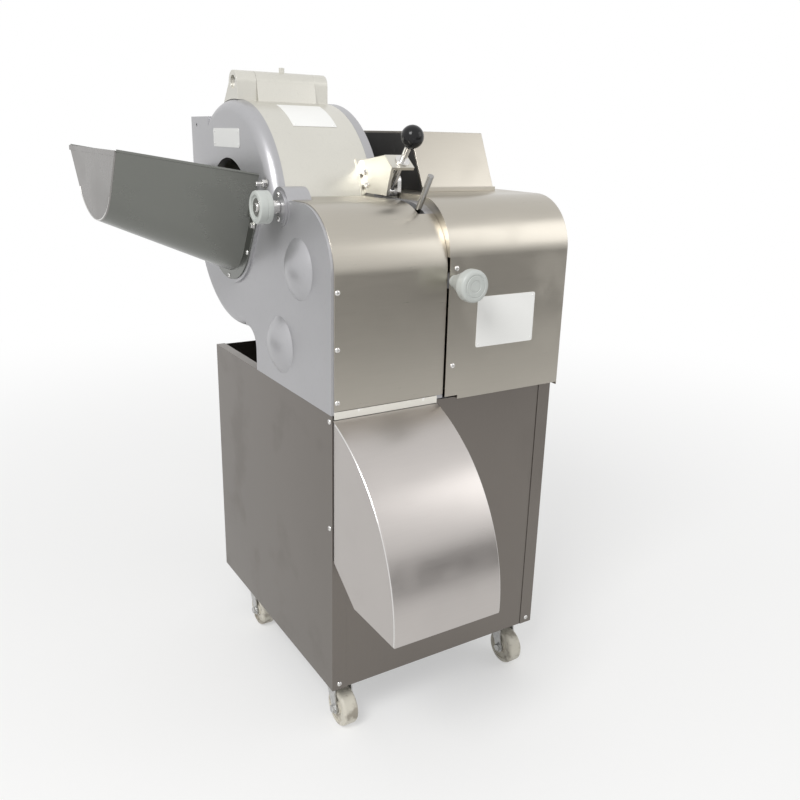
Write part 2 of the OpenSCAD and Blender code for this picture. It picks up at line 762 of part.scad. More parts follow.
// Feed trough: straight part with a flange on the left plate
trough_t = 2;
wall_reach = 400;
flange_t = 3;
flange_w = 24;
flange_top = 24;
end_t = 4;
end_skew = 4.9;
end_half = 135;
module along_trough() at_axis(drum_at) rotate([0, trough_rise, 0]) yz(-2 * trough_l, trough_l) children();
module trough_core(r) along_trough() trough_outline(r, wall_reach);
module below_top_edge() intersection() {
  children();
  at_axis(drum_at) translate([0, 0, trough_top]) rotate([0, trough_slope, 0])
    box([-big, -big, -big], [big, big, 0]);
}
module past_end(t0, t1) translate([-trough_l, drum_y - end_half, 0]) rotate([0, 0, end_skew])
  box([t0, -big, 0], [t1, big, big]);
module feed_trough() color(steel) place() {
  below_top_edge() intersection() {
    along_trough() difference() {
      trough_outline(trough_r, wall_reach);
      trough_outline(trough_r - trough_t, wall_reach + over);
    }
    past_end(0, big);
    box([-big, -big, 0], [-seat_t - 1, big, big]);
  }
  difference() {
    yz(-seat_t - flange_t, -seat_t) translate(drum_at)
      cut_above(flange_top) trough_outline(trough_r + flange_w, wall_reach);
    trough_core(trough_r - trough_t);
  }
}

// End plate that closes the trough's mouth toward the loading side
module trough_mouth() color(steel) place() below_top_edge() intersection() {
  trough_core(trough_r);
  past_end(-end_t, 0);
}

// Slicing knife across the drum's front opening, ground thin at its upper edge
module slicing_knife() color(bright) place() yz(rim_w, wall_x) translate(drum_at) difference() {
  band(drum_r - drum_t, drum_r - 2, 180 + knife_low, 180 + shell_low - 0.2);
  rotate(180 + knife_low) translate([drum_r - drum_t, 0])
    polygon([[1, -over], [1, 0], [drum_t - 2, 24], [4 * over, 24], [4 * over, -over]]);
}

// Sheet behind the cross-cut knives, from the chute up to the drum
module rear_guard() color(steel) place() {
  y1 = chute_y1 + sheet;
  z1 = drum_at[1] - sqrt(pow(rim_out, 2) - pow(drum_y - y1, 2)) - seat;
  difference() {
    box([plate_t, chute_y1, chute_top + seat], [wall_x, y1, z1]);
    box([0, 0, 0], [top_fold + seat, cab_d, top_z + seat]);
  }
}

// Flanged housing of the main shaft on the right wall
module bearing_housing() color(casting) place() difference() {
  union() {
    rod_x(wall_x1, wall_x1 + 14, drum_at, housing_flange);
    rod_x(wall_x1, housing_x1, drum_at, housing_r);
  }
  rod_x(wall_x1 - over, housing_x1, drum_at, main_r + 2);
  rod_x(wall_x1 + 8, housing_x1 + over, drum_at, main_bearing_r + press);
}

// Bearings of the main shaft and of both knife shafts
module bearing(x, at, r0, r1) difference() {
  rod_x(x, x + bearing_w, at, r1);
  rod_x(x - over, x + bearing_w + over, at, r0 + fit);
}
module bearings() color(bright) place() {
  for (x = [wall_x1 + 8, housing_x1 - bearing_w - 2]) bearing(x, drum_at, main_r, main_bearing_r);
  for (at = [disc_at, cross_at], x = [1, wall_x1 - bearing_w - 1]) bearing(x, at, shaft_r, bearing_r);
}

// Stub axle of the idler gear, with its foot on the right wall
idler_shaft_r = 15;
module idler_axle() color(steel) place() {
  rod_x(wall_x1, wall_x1 + 10, idler_at, 34);
  rod_x(wall_x1, gear_x - 1, idler_at, 26);
  rod_x(wall_x1, gear_x + gear_w + 4, idler_at, idler_shaft_r);
}

// Post on the right wall with the round nut that takes the clamp screw's tip
module along_rod() translate([clamp_x, nut_at[0], nut_at[1]]) rotate([rod_lean, 0, 0]) children();
post_w = 30;
post_up = 18;
post_down = 40;
nut_l = 11;
tip_gap = 0.7;
module latch_post() color(bright) place() difference() {
  union() {
    yz(wall_x1, wall_x1 + post_t) {
      translate([nut_y - post_w / 2, head_z - post_down]) square([post_w, post_down + nut_up + post_up]);
      translate(nut_at + [0, post_up]) circle(post_w / 2);
    }
    rod_x(clamp_x - nut_l, wall_x1 + 1, nut_at, nut_r);
  }
  along_rod() cylinder(h = 6 * nut_r, r = rod_r + tip_gap, center = true);
}

// Caster mounting plates with their swivel sockets
socket_h = 12;
plate_half = [37, 30];
socket_r = 20;
module caster_plates() color("#c3c6c8") place() for (c = caster_spots)
  translate([c[0], c[1], -pad_t]) caster_plate();
module caster_plate() difference() {
  union() {
    box([-plate_half[0], -plate_half[1], 0], [plate_half[0], plate_half[1], pad_t]);
    translate([0, 0, -socket_h]) cylinder(h = socket_h + 1, r = socket_r);
  }
  translate([0, 0, -socket_h - 1]) cylinder(h = socket_h, r = stem_r + fit);
}

// Button heads of the screws that hold covers, panels, trough and chute
screw_r = 5;
screw_h = 2.5;
module head_on(p, turn) translate(p) rotate(turn) cylinder(h = screw_h, r = screw_r);
module panel_screws() color(bright) place() {
  to_front = [90, 0, 0];
  to_left = [0, -90, 0];
  for (z = [22, 116, 213]) head_on([cover_x0 + 6, head_y - sheet, top_z + z], to_front);
  for (z = [61, 240]) head_on([wall_x1 + 16, -head_y, top_z + z], to_front);
  for (x = [fold_w / 2, cab_w - fold_w / 2]) head_on([x, 0, angle_leg / 2], to_front);
  for (z = [throat_z + 62, chute_top - 4]) head_on([0, 10, z], to_left);
  for (a = [-150, -90, -30]) {
    spot = drum_at + (trough_r + 17) * [cos(a), sin(a)];
    head_on([-seat_t - flange_t, spot[0], spot[1]], to_left);
  }
  for (s = [-1, 1]) head_on([-boss_face, gate_at[0], gate_at[1] + s * 21], to_left);
  for (x = [70, 150, 190]) head_on([x, drum_y - drum_r - 8, head_z - 7.5], [0, 0, 0]);
}

// Door: front part of the drum with its hinge barrel and the set screw on top of it
door_t = 6;
set_r = 6;
set_h = 9;
module door() color(bright) place() difference() {
  union() {
    yz(rim_w + gap, wall_x - gap) translate(drum_at) band(drum_r - door_t, drum_r, door_top, 180 - door_low);
    rod_x(barrel_x0 + gap, barrel_x1 - gap, hinge_at, barrel_r);
    yz(barrel_x0 + gap, barrel_x1 - gap) hinge_leaf();
    translate([(barrel_x0 + barrel_x1) / 2, hinge_at[0], hinge_at[1] + barrel_r - 2])
      cylinder(h = set_h + 2, r = set_r, $fn = 6);
  }
  for (x = [[0, barrel_x0 + gap], [barrel_x1 - gap, wall_x]])
    yz(x[0], x[1]) translate(drum_at) sector(notch_top - 20, notch_top, 2 * drum_r);
  rod_x(0, wall_x, hinge_at, pin_r + fit);
}

// Bracket on the door: pad, cheek plate and the tilted flap that the clamp screw passes through
bracket_t = 4;
cheek_t = 6;
cheek_in = 30;
cheek_up = 5;
flap_half = 18;
pad_from = 148;
pad_to = 167;
module latch_bracket() color(pale) place() difference() {
  cheek_x = clamp_x - cheek_in;
  pad = drum_r + fit;
  flap = nut_at + flap_at * rod_dir;
  along = (flap_half - 1) * [rod_dir[1], -rod_dir[0]];
  union() {
    yz(cheek_x - 2 * bracket_t, wall_x - 1) translate(drum_at) band(pad, pad + bracket_t, pad_from, pad_to);
    yz(cheek_x, cheek_x + cheek_t) polygon(concat(
      [flap - along, [nut_y - 2 * flap_half, head_z + sheet + cheek_up]],
      arc(drum_at, pad + bracket_t / 2, pad_to - 2, pad_from + 1, 4),
      [flap + along + flap_t * rod_dir]
    ));
    along_rod() translate([0, 0, flap_at]) box([-cheek_in, -flap_half, 0], [flap_half, flap_half, flap_t]);
  }
  along_rod() cylinder(h = 2 * flap_at + 60, r = rod_r + fit, center = true);
}

// Clamp screw with its washer
module clamp_screw() color(bright) place() along_rod() {
  translate([0, 0, -2]) cylinder(h = rod_top + 2, r = rod_r);
  translate([0, 0, flap_at + flap_t + 0.1]) cylinder(h = washer_t, r = 14);
  translate([0, 0, flap_at - 0.1 - washer_t]) cylinder(h = washer_t, r = 10);
}

// Ball knob on the clamp screw
module ball_knob() color("#161616") place() along_rod() difference() {
  translate([0, 0, ball_at]) sphere(ball_r);
  translate([0, 0, ball_at - 2 * ball_r]) cylinder(h = rod_top - ball_at + 2 * ball_r, r = rod_r + press);
}

// Thickness gate: plate along the drum's front opening on two arms of its shaft
module thickness_gate() color(bright) place() {
  r = drum_r - drum_t;
  mid = r + gate_t / 2;
  rod_x(gate_end, wall_x + 7, gate_at, gate_r);
  yz(gate_x0, wall_x - 1) translate(drum_at) band(r, r + gate_t, 180 - door_low + 3, 180 + knife_low - 1.2);
  for (x = [gate_x0 + 20, wall_x - 50]) yz(x, x + 10) polygon([
    gate_at + [4, -6], drum_at + mid * [cos(176), sin(176)],
    drum_at + mid * [cos(185), sin(185)], gate_at + [-5, -7]
  ]);
}

// Knob that sets and locks the thickness gate
knob_x0 = -50;
knob_l = 26;
knob_recess = 4;
collar_r = 12;
module lock_knob() color(nylon) place() difference() {
  union() {
    rod_x(knob_x0 + knob_l - 1, -boss_face - gap, gate_at, collar_r);
    rod_x(knob_x0, knob_x0 + knob_l, gate_at, knob_r);
  }
  rod_x(gate_end, 0, gate_at, gate_r + press);
  rod_x(knob_x0 - over, knob_x0 + knob_recess, gate_at, knob_r - 8);
}

// Knob that draws the motor cover against the right wall
module front_knob_axis() translate([fk_x, 0, fk_z]) rotate([90, 0, 0]) children();
module front_knob() color(nylon) place() front_knob_axis() {
  translate([0, 0, -head_y - 16]) cylinder(h = 30, r = rod_r);
  translate([0, 0, head_y + gap]) cylinder(h = 6, r = 11);
  translate([0, 0, head_y + 6]) cylinder(h = 40, r1 = 11, r2 = knob_r);
  translate([0, 0, head_y + 46]) cylinder(h = 19, r = knob_r);
}

// Lever on a ring about the disc shaft, which swings the comb
module comb_lever() color(bright) place() difference() {
  union() {
    rod_x(comb_x0, comb_x0 + comb_w, disc_at, comb_r + ring_t);
    translate([lever_x, disc_at[0], disc_at[1]]) rotate([lever_lean, 0, 0]) translate([0, 0, comb_r + 2])
      cylinder(h = lever_l - comb_r - 2, r = lever_r);
    yz(comb_x0, comb_x0 + comb_w) translate(disc_at) rotate(comb_turn)
      translate([comb_r + 2, -arm_w / 2]) square([comb_out - comb_r - 2, arm_w]);
  }
  rod_x(comb_x0 - over, wall_x, disc_at, comb_r + fit);
}

// Comb bar with a tine in each space between the disc blades
tine_gap = 3;
tine_t = 6;
bar_t = 14;
module comb_plate() color(steel) place() at_axis(disc_at) rotate([comb_turn, 0, 0]) {
  box([row_x0 - 4, disc_r + 4, -bar_t / 2], [comb_x0, comb_out, bar_t / 2]);
  for (i = [0:blade_n - 2])
    box([row_x0 + blade_t + i * blade_pitch + tine_gap, spacer_r + 4, -tine_t / 2],
      [row_x0 + (i + 1) * blade_pitch - tine_gap, disc_r + 6, tine_t / 2]);
}

// Paddle wheel that carries the food round the drum
module impeller() color(bright) place() difference() {
  hub_x = wall_x - 75;
  union() {
    rod_x(wall_x - 16, wall_x - 4, drum_at, paddle_r);
    rod_x(hub_x, wall_x - 4, drum_at, 46);
    translate([hub_x, drum_at[0], drum_at[1]]) sphere(46);
    for (i = [0:paddle_n - 1]) at_axis(drum_at) rotate([i * 360 / paddle_n + 20, 0, 0])
      box([rim_w + 10, 30, -5], [wall_x - 10, paddle_r - 4, 5]);
  }
  rod_x(hub_x, wall_x, drum_at, main_r + press);
  rod_x(-big, hub_x - 32, drum_at, 60);
}

// Main shaft through the right wall and its housing
module main_shaft() color(steel) place() rod_x(wall_x - 75, main_x1, drum_at, main_r);

// Grooved pulleys
function groove_at(i) = pulley_x + groove_rim + i * (groove_w + groove_rim);
module pulley(at, r, bore) difference() {
  union() {
    rod_x(pulley_x, pulley_x + pulley_w, at, r - groove_d);
    for (i = [0:belt_n]) rod_x(groove_at(i) - groove_rim, groove_at(i), at, r);
  }
  rod_x(pulley_x - over, pulley_x + pulley_w + over, at, bore + press);
}
web_n = 5;
module main_pulley() color(dark) place() difference() {
  hub_r = main_r + 22;
  rim_in = pulley_r - groove_d - 12;
  pulley(drum_at, pulley_r, main_r);
  for (i = [0:web_n - 1])
    rod_x(pulley_x - over, pulley_x + pulley_w + over,
      drum_at + (hub_r + rim_in) / 2 * [cos(i * 360 / web_n), sin(i * 360 / web_n)], (rim_in - hub_r) / 2);
}
module motor_pulley() color(dark) place() pulley(motor_at, drive_r, motor_shaft_r);

// Motor shaft
module motor_shaft() color(steel) place()
  rod_x(motor_x1 - motor_bore + 2, pulley_x + pulley_w + shaft_end, motor_at, motor_shaft_r);

// Gear with straight-sided teeth
module gear(at, teeth, turn, bore) yz(gear_x, gear_x + gear_w) translate(at) {
  r = gear_m * teeth / 2;
  low = r - tooth_down;
  high = r + tooth_up;
  root = (tooth_w / 2 + tooth_down * flank) / low * 180 / PI;
  tip = (tooth_w / 2 - tooth_up * flank) / high * 180 / PI;
  difference() {
    polygon([
      for (i = [0:teeth - 1], p = [[low, -root], [high, -tip], [high, tip], [low, root]])
        let (a = turn + i * 360 / teeth + p[1]) p[0] * [cos(a), sin(a)]
    ]);
    circle(bore);
  }
}
module main_gear() color(dark) place() gear(drum_at, gear_teeth, main_turn, main_r + press);
module idler_gear() color(dark) place() gear(idler_at, idler_teeth, idler_turn, idler_shaft_r + fit);
module disc_gear() color(dark) place() gear(disc_at, gear_teeth, disc_turn, shaft_r + press);
module cross_gear() color(dark) place() gear(cross_at, gear_teeth, cross_turn, shaft_r + press);

// Knife shafts
module disc_shaft() color(steel) place() {
  rod_x(0.5, shaft_x1, disc_at, shaft_r);
  rod_x(row_x0 - 6, row_x0 + (blade_n - 1) * blade_pitch + blade_t + 4, disc_at, spacer_r);
}
module cross_shaft() color(steel) place() rod_x(0.5, shaft_x1, cross_at, shaft_r);

// Disc blades, each pressed on the thick part of the shaft
module disc_blades() color(bright) place() for (i = [0:blade_n - 1]) {
  x = row_x0 + i * blade_pitch;
  difference() {
    rod_x(x, x + blade_t, disc_at, disc_r);
    rod_x(x - 1, x + blade_t + 1, disc_at, spacer_r + press);
  }
}

// Cross-cut knives on their sleeve
module cross_knives() color(bright) place() difference() {
  union() {
    rod_x(row_x0 - 6, row_x1, cross_at, spacer_r);
    for (i = [0:cross_n - 1]) yz(row_x0 - 4, row_x1 - 2) translate(cross_at) rotate(i * 360 / cross_n)
      polygon([[spacer_r - 3, -5], [cross_r, -1], [cross_r, 0.5], [spacer_r - 3, 5]]);
  }
  rod_x(0, wall_x, cross_at, shaft_r + press);
}

// Caster fork: stem, crown and two cheeks with the axle
crown_z = -pad_t - socket_h - 0.5;
module caster_fork(i) color("#c3c6c8") place() translate([caster_spots[i][0], caster_spots[i][1], 0]) {
  cheek = wheel_w / 2 + 1.5;
  translate([0, 0, crown_z - 1]) cylinder(h = socket_h - 1, r = stem_r);
  translate([0, 0, crown_z - fork_t]) cylinder(h = fork_t, r = 21);
  box([-cheek - fork_t, -20, crown_z - fork_t], [cheek + fork_t, 16, crown_z - 0.3]);
  for (s = [0, 1]) mirror([s, 0, 0]) yz(cheek, cheek + fork_t) {
    polygon([[-20, crown_z - 0.3], [16, crown_z - 0.3], [9 - trail, wheel_z - 4], [-9 - trail, wheel_z - 4]]);
    translate([-trail, wheel_z]) circle(11);
  }
  rod_x(-cheek - fork_t - 3, cheek + fork_t + 3, [-trail, wheel_z], axle_r);
}

// Caster wheel with a rounded tread and a recessed hub
module caster_wheel(i) color(nylon) place()
  translate([caster_spots[i][0], caster_spots[i][1] - trail, wheel_z]) rotate([0, 90, 0]) rotate_extrude() {
    r = wheel_d / 2;
    h = wheel_w / 2;
    soft = 6;
    difference() {
      union() {
        translate([axle_r + fit, -h]) square([r - soft - axle_r - fit, wheel_w]);
        translate([axle_r + fit, soft - h]) square([r - axle_r - fit, wheel_w - 2 * soft]);
        for (s = [-1, 1]) translate([r - soft, s * (h - soft)]) circle(soft);
      }
      for (s = [-1, 1]) translate([r * 0.55, s * h]) square([r * 0.35, 6], center = true);
    }
  }

base_frame();
cabinet_left_panel();
cabinet_right_panel();
cabinet_front_panel();
cabinet_back_panel();
panel_screws();
motor_plate();
motor_body();
drive_belts();
left_side_plate();
right_side_wall();
drum_shell();
ledge_strip();
hinge_pin();
knife_cover();
cover_flange();
motor_cover();
hood();
discharge_chute();
feed_trough();
trough_mouth();
slicing_knife();
rear_guard();
bearing_housing();
bearings();
bearing_caps();
idler_axle();
latch_post();
cable_gland();
caster_plates();
door();
latch_bracket();
clamp_screw();
ball_knob();
thickness_gate();
lock_knob();
front_knob();
comb_lever();
comb_plate();
impeller();
main_shaft();
main_pulley();
main_gear();
idler_gear();
disc_shaft();
disc_blades();
disc_gear();
cross_shaft();
cross_knives();
cross_gear();
motor_shaft();
motor_pulley();
caster_fork(0);  // caster_fork_fl
caster_fork(1);  // caster_fork_fr
caster_fork(2);  // caster_fork_rl
caster_fork(3);  // caster_fork_rr
caster_wheel(0);  // caster_wheel_fl
caster_wheel(1);  // caster_wheel_fr
caster_wheel(2);  // caster_wheel_rl
caster_wheel(3);  // caster_wheel_rr
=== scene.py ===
import math

import bmesh
import bpy
from mathutils import Matrix, Vector


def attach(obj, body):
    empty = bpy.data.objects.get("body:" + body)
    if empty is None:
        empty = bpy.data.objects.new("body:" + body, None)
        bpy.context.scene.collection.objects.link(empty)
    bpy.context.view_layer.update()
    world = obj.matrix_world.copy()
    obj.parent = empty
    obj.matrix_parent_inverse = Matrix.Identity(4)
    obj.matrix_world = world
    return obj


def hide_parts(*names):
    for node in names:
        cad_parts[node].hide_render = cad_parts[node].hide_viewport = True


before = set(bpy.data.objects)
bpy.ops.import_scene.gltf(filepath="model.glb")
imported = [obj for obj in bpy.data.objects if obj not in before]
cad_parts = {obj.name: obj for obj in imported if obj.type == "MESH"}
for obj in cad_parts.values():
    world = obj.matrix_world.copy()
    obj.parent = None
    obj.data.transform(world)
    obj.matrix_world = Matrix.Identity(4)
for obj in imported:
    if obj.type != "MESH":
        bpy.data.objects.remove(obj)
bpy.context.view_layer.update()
scene = bpy.context.scene
scene.view_settings.view_transform = "Standard"

# Camera
# A hand-held camera stands in front of the machine's feed side, a little above the drum's middle,
# and looks down on it.
PHOTO_SIZE = 800
FOCAL_PIXELS = 814.36
SENSOR = 36.0
CAMERA_AT = Vector((-0.8527, -1.4650, 1.1244))
LOOK = Vector((0.50725, 0.80521, -0.30714))
RIGHT = Vector((0.85002, -0.52618, 0.02439))
camera_data = bpy.data.cameras.new("photo_camera")
camera_data.sensor_width = SENSOR
camera_data.lens = FOCAL_PIXELS / PHOTO_SIZE * SENSOR
camera = bpy.data.objects.new("photo_camera", camera_data)
scene.collection.objects.link(camera)
camera_axes = Matrix((RIGHT, RIGHT.cross(LOOK), -LOOK)).transposed()
camera.matrix_world = Matrix.Translation(CAMERA_AT) @ camera_axes.to_4x4()
scene.camera = camera


# Studio floor and light
# A flat pale floor of painted board fades into a white world, with one broad lamp over the left shoulder
# and a weak one from the right. Two grey boards stand outside the picture, for the steel to mirror.
class Wire:
    """A socket of a node tree. Arithmetic on it adds Math nodes, and node() adds any other node."""

    def __init__(self, tree, socket=None):
        self.tree = tree
        self.socket = socket

    def node(self, kind, settings=None, inputs=None, out=0):
        made = self.tree.nodes.new(kind)
        for name, value in (settings or {}).items():
            setattr(made, name, value)
        for name, value in (inputs or {}).items():
            if isinstance(value, Wire):
                self.tree.links.new(value.socket, made.inputs[name])
            else:
                made.inputs[name].default_value = value
        return Wire(self.tree, made.outputs[out])

    def maths(self, operation, a, b):
        return self.node("ShaderNodeMath", {"operation": operation}, {0: a, 1: b})

    def __add__(self, other):
        return self.maths("ADD", self, other)

    __radd__ = __add__

    def __sub__(self, other):
        return self.maths("SUBTRACT", self, other)

    def __rsub__(self, other):
        return self.maths("SUBTRACT", other, self)

    def __mul__(self, other):
        return self.maths("MULTIPLY", self, other)

    __rmul__ = __mul__


def new_finish(name, colour, metal, rough, **constants):
    """A Principled material; returns it with a Wire into its tree and a function that feeds a shader socket."""
    material = bpy.data.materials.new(name)
    material.use_nodes = True
    tree = material.node_tree
    shader = tree.nodes["Principled BSDF"]
    shader.inputs["Base Color"].default_value = (*colour, 1.0)
    shader.inputs["Metallic"].default_value = metal
    shader.inputs["Roughness"].default_value = rough
    for socket, value in constants.items():
        shader.inputs[socket.replace("_", " ")].default_value = value

    def feed(socket, wire):
        tree.links.new(wire.socket, shader.inputs[socket])

    return material, Wire(tree), feed


def cloud(wire, scale, detail=3.0, stretch=(1.0, 1.0, 1.0)):
    """Noise in the object's own space, drawn out where the stretch is small."""
    place = wire.node("ShaderNodeTexCoord", out=3)
    drawn = wire.node("ShaderNodeMapping", {}, {"Vector": place, "Scale": stretch})
    return wire.node("ShaderNodeTexNoise", {}, {"Vector": drawn, "Scale": scale, "Detail": detail})


def between(wire, mask, low, high):
    """Colour that goes from low to high as the mask goes from 0 to 1."""
    return wire.node(
        "ShaderNodeMix", {"data_type": "RGBA"},
        {0: mask, 6: (*low, 1.0), 7: (*high, 1.0)}, out=2,
    )


def soften(wire, value, low, high):
    """The value's range low to high spread smoothly over 0 to 1."""
    return wire.node(
        "ShaderNodeMapRange", {"interpolation_type": "SMOOTHSTEP"},
        {"Value": value, "From Min": low, "From Max": high},
    )


def seen_rays(wire):
    """1 for rays from the camera, from gloss and through glass, otherwise 0."""
    kinds = ("Is Camera Ray", "Is Glossy Ray", "Is Transmission Ray")
    camera_ray, gloss_ray, glass_ray = (wire.node("ShaderNodeLightPath", out=kind) for kind in kinds)
    return wire.maths("MINIMUM", camera_ray + gloss_ray + glass_ray, 1.0)


MAKER_ORIGIN = Vector((247.5, 287.5, -105.0))


def spot(x, y, z):
    """Metres in the shared frame, from millimetres right, back and up from the cabinet's front left corner."""
    return (Vector((x, y, z)) - MAKER_ORIGIN) / 1000.0


def slab(low, high):
    """A box between two corners in millimetres."""
    bm = bmesh.new()
    bmesh.ops.create_cube(bm, size=1.0)
    bmesh.ops.scale(bm, vec=(Vector(high) - Vector(low)) / 1000.0, verts=bm.verts)
    bmesh.ops.translate(bm, vec=(spot(*low) + spot(*high)) / 2.0, verts=bm.verts)
    return bm


def stage_piece(name, bm, material):
    """A part of the studio, which isn't part of the machine."""
    mesh = bpy.data.meshes.new(name)
    bm.to_mesh(mesh)
    bm.free()
    mesh.materials.append(material)
    piece = bpy.data.objects.new(name, mesh)
    scene.collection.objects.link(piece)
    return piece


FLOOR_HALF = 14.0
FLOOR_LOW = (0.84, 0.84, 0.83)
FLOOR_HIGH = (0.88, 0.88, 0.87)
FADE_FROM, FADE_TO = 0.5, 3.4
NEAR_WHITE = 0.45
floor_paint, wire, feed = new_finish("floor_paint", FLOOR_HIGH, 0.0, 0.75)
feed("Roughness", 0.7 + 0.1 * cloud(wire, 6.0))
feed("Base Color", between(wire, cloud(wire, 0.8), FLOOR_LOW, FLOOR_HIGH))
floor_nodes = floor_paint.node_tree.nodes
painted = Wire(floor_paint.node_tree, floor_nodes["Principled BSDF"].outputs[0])
white = wire.node("ShaderNodeEmission", {}, {"Color": (1.0, 1.0, 1.0, 1.0), "Strength": 1.0})
away = wire.node(
    "ShaderNodeVectorMath", {"operation": "LENGTH"}, {0: wire.node("ShaderNodeTexCoord", out=3)}, out="Value",
)
share = seen_rays(wire) * (NEAR_WHITE + (1.0 - NEAR_WHITE) * soften(wire, away, FADE_FROM, FADE_TO))
faded = wire.node("ShaderNodeMixShader", {}, {0: share, 1: painted, 2: white})
floor_paint.node_tree.links.new(faded.socket, floor_nodes["Material Output"].inputs["Surface"])
bm = bmesh.new()
bmesh.ops.create_grid(bm, x_segments=1, y_segments=1, size=FLOOR_HALF)
stage_piece("studio_floor", bm, floor_paint)

BOARD_LOW = (0.24, 0.235, 0.23)
BOARD_HIGH = (0.30, 0.295, 0.29)
board_grey, wire, feed = new_finish("board_grey", BOARD_LOW, 0.0, 0.9)
feed("Base Color", between(wire, cloud(wire, 1.2), BOARD_LOW, BOARD_HIGH))
BOARDS = {
    "front_board": ((500.0, -2300.0, -105.0), (4200.0, -2260.0, 750.0)),
    "left_board": ((-1960.0, 900.0, -105.0), (-1920.0, 3900.0, 420.0)),
}
for board_name, (low, high) in BOARDS.items():
    board = stage_piece(board_name, slab(low, high), board_grey)
    board.visible_camera = False
    board.visible_diffuse = False
    board.visible_shadow = False
    board.visible_transmission = False

# Seen directly, in metal or through glass, the world is white; the light that it sheds is a little weaker.
SKY_LEVEL = 0.62
world = bpy.data.worlds.new("studio_world")
scene.world = world
world.use_nodes = True
sky = world.node_tree.nodes["Background"]
sky.inputs["Color"].default_value = (1.0, 1.0, 1.0, 1.0)
level = SKY_LEVEL + (1.0 - SKY_LEVEL) * seen_rays(Wire(world.node_tree))
world.node_tree.links.new(level.socket, sky.inputs["Strength"])


def soft_lamp(name, at, aim, size, power):
    """A square lamp at a place, turned towards the place that it lights."""
    lamp = bpy.data.lights.new(name, "AREA")
    lamp.size = size
    lamp.energy = power
    holder = bpy.data.objects.new(name, lamp)
    scene.collection.objects.link(holder)
    holder.location = at
    holder.rotation_euler = (Vector(at) - Vector(aim)).to_track_quat("Z", "Y").to_euler()


HEAD_MIDDLE = (0.0, 0.0, 0.8)
soft_lamp("key_lamp", at=(-2.2, -1.6, 3.0), aim=HEAD_MIDDLE, size=1.4, power=75.0)
soft_lamp("side_lamp", at=(2.4, -2.0, 2.2), aim=HEAD_MIDDLE, size=1.8, power=14.0)


# Cabinet
# The stand is folded from stainless sheet with a brushed face, welded at the corners and screwed
# to a frame of black painted angle iron; the brushing runs up and down each panel.
def bumped(wire, height, strength, depth):
    """A normal that follows a height, with its depth in metres."""
    return wire.node("ShaderNodeBump", {}, {"Strength": strength, "Distance": depth, "Height": height})


BRUSH_SCALE, TONE_SCALE, MARK_SCALE = 520.0, 3.0, 9.0


def brushed_steel(name, colour, stretch, rough=0.32):
    """Sheet steel with fine brush lines, broad cloudy tones and a few dull hand marks."""
    material, wire, feed = new_finish(name, colour, 1.0, rough)
    lines = cloud(wire, BRUSH_SCALE, 2.0, stretch)
    broad = cloud(wire, TONE_SCALE, 4.0)
    marks = soften(wire, cloud(wire, MARK_SCALE, 5.0), 0.50, 0.72)
    dark = tuple(0.90 * part for part in colour)
    light = tuple(min(1.0, 1.08 * part) for part in colour)
    feed("Base Color", between(wire, 0.30 * lines + 0.70 * broad, dark, light))
    feed("Roughness", rough - 0.04 + 0.06 * lines + 0.08 * marks)
    feed("Normal", bumped(wire, lines, 0.05, 0.0002))
    return material


RUB_SCALE, SHEEN_SCALE, PEEL_SCALE = 60.0, 40.0, 300.0


def worn_paint(name, colour, rough):
    """Paint with a slight orange peel, rubbed lighter in small patches."""
    material, wire, feed = new_finish(name, colour, 0.0, rough)
    worn = soften(wire, cloud(wire, RUB_SCALE, 5.0), 0.62, 0.78)
    rubbed = tuple(min(1.0, 1.5 * part + 0.02) for part in colour)
    feed("Base Color", between(wire, worn, colour, rubbed))
    feed("Roughness", rough - 0.08 + 0.16 * cloud(wire, SHEEN_SCALE))
    feed("Normal", bumped(wire, cloud(wire, PEEL_SCALE), 0.2, 0.0005))
    return material


def dress(material, *names):
    """Puts a finish on CAD nodes."""
    for name in names:
        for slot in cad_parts[name].material_slots:
            slot.material = material


SMOOTH_BELOW = math.radians(35.0)


def make_piece(name, bm, material, body, slot, *stands_for):
    """Turns a mesh in work into a piece that rides on a body, and hides the CAD nodes that it stands for."""
    mesh = bpy.data.meshes.new(name)
    bm.to_mesh(mesh)
    bm.free()
    mesh.materials.append(material)
    mesh.shade_smooth()
    mesh.set_sharp_from_angle(angle=SMOOTH_BELOW)
    piece = bpy.data.objects.new(name, mesh)
    scene.collection.objects.link(piece)
    flat_faces = piece.modifiers.new("flat_faces", "WEIGHTED_NORMAL")
    flat_faces.keep_sharp = True
    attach(piece, body)
    if stands_for:
        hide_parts(*stands_for)
    return piece


MERGE_WITHIN = 2e-6
FLAT_WITHIN = math.radians(0.4)


def node_copy(node):
    """A merged copy of a CAD node's mesh."""
    bm = bmesh.new()
    bm.from_mesh(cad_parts[node].data)
    bmesh.ops.remove_doubles(bm, verts=bm.verts, dist=MERGE_WITHIN)
    return bm


def round_edges(bm, width, steps=2, corner=40.0):
    """Rounds the edges that are sharper than the corner angle, by a width in millimetres."""
    sharp = [
        edge for edge in bm.edges
        if edge.is_manifold and edge.calc_face_angle(0.0) > math.radians(corner)
    ]
    bmesh.ops.bevel(
        bm, geom=sharp, offset=width / 1000.0, offset_type="OFFSET", affect="EDGES", segments=steps,
        profile=0.5, material=-1, clamp_overlap=True,
    )
    return bm


def eased(node, width, material, body, slot):
    """A copy of a CAD node with rounded edges, which stands for the node."""
    bm = node_copy(node)
    bmesh.ops.dissolve_limit(bm, angle_limit=FLAT_WITHIN, verts=bm.verts, edges=bm.edges)
    return make_piece(node + ".eased", round_edges(bm, width), material, body, slot, node)


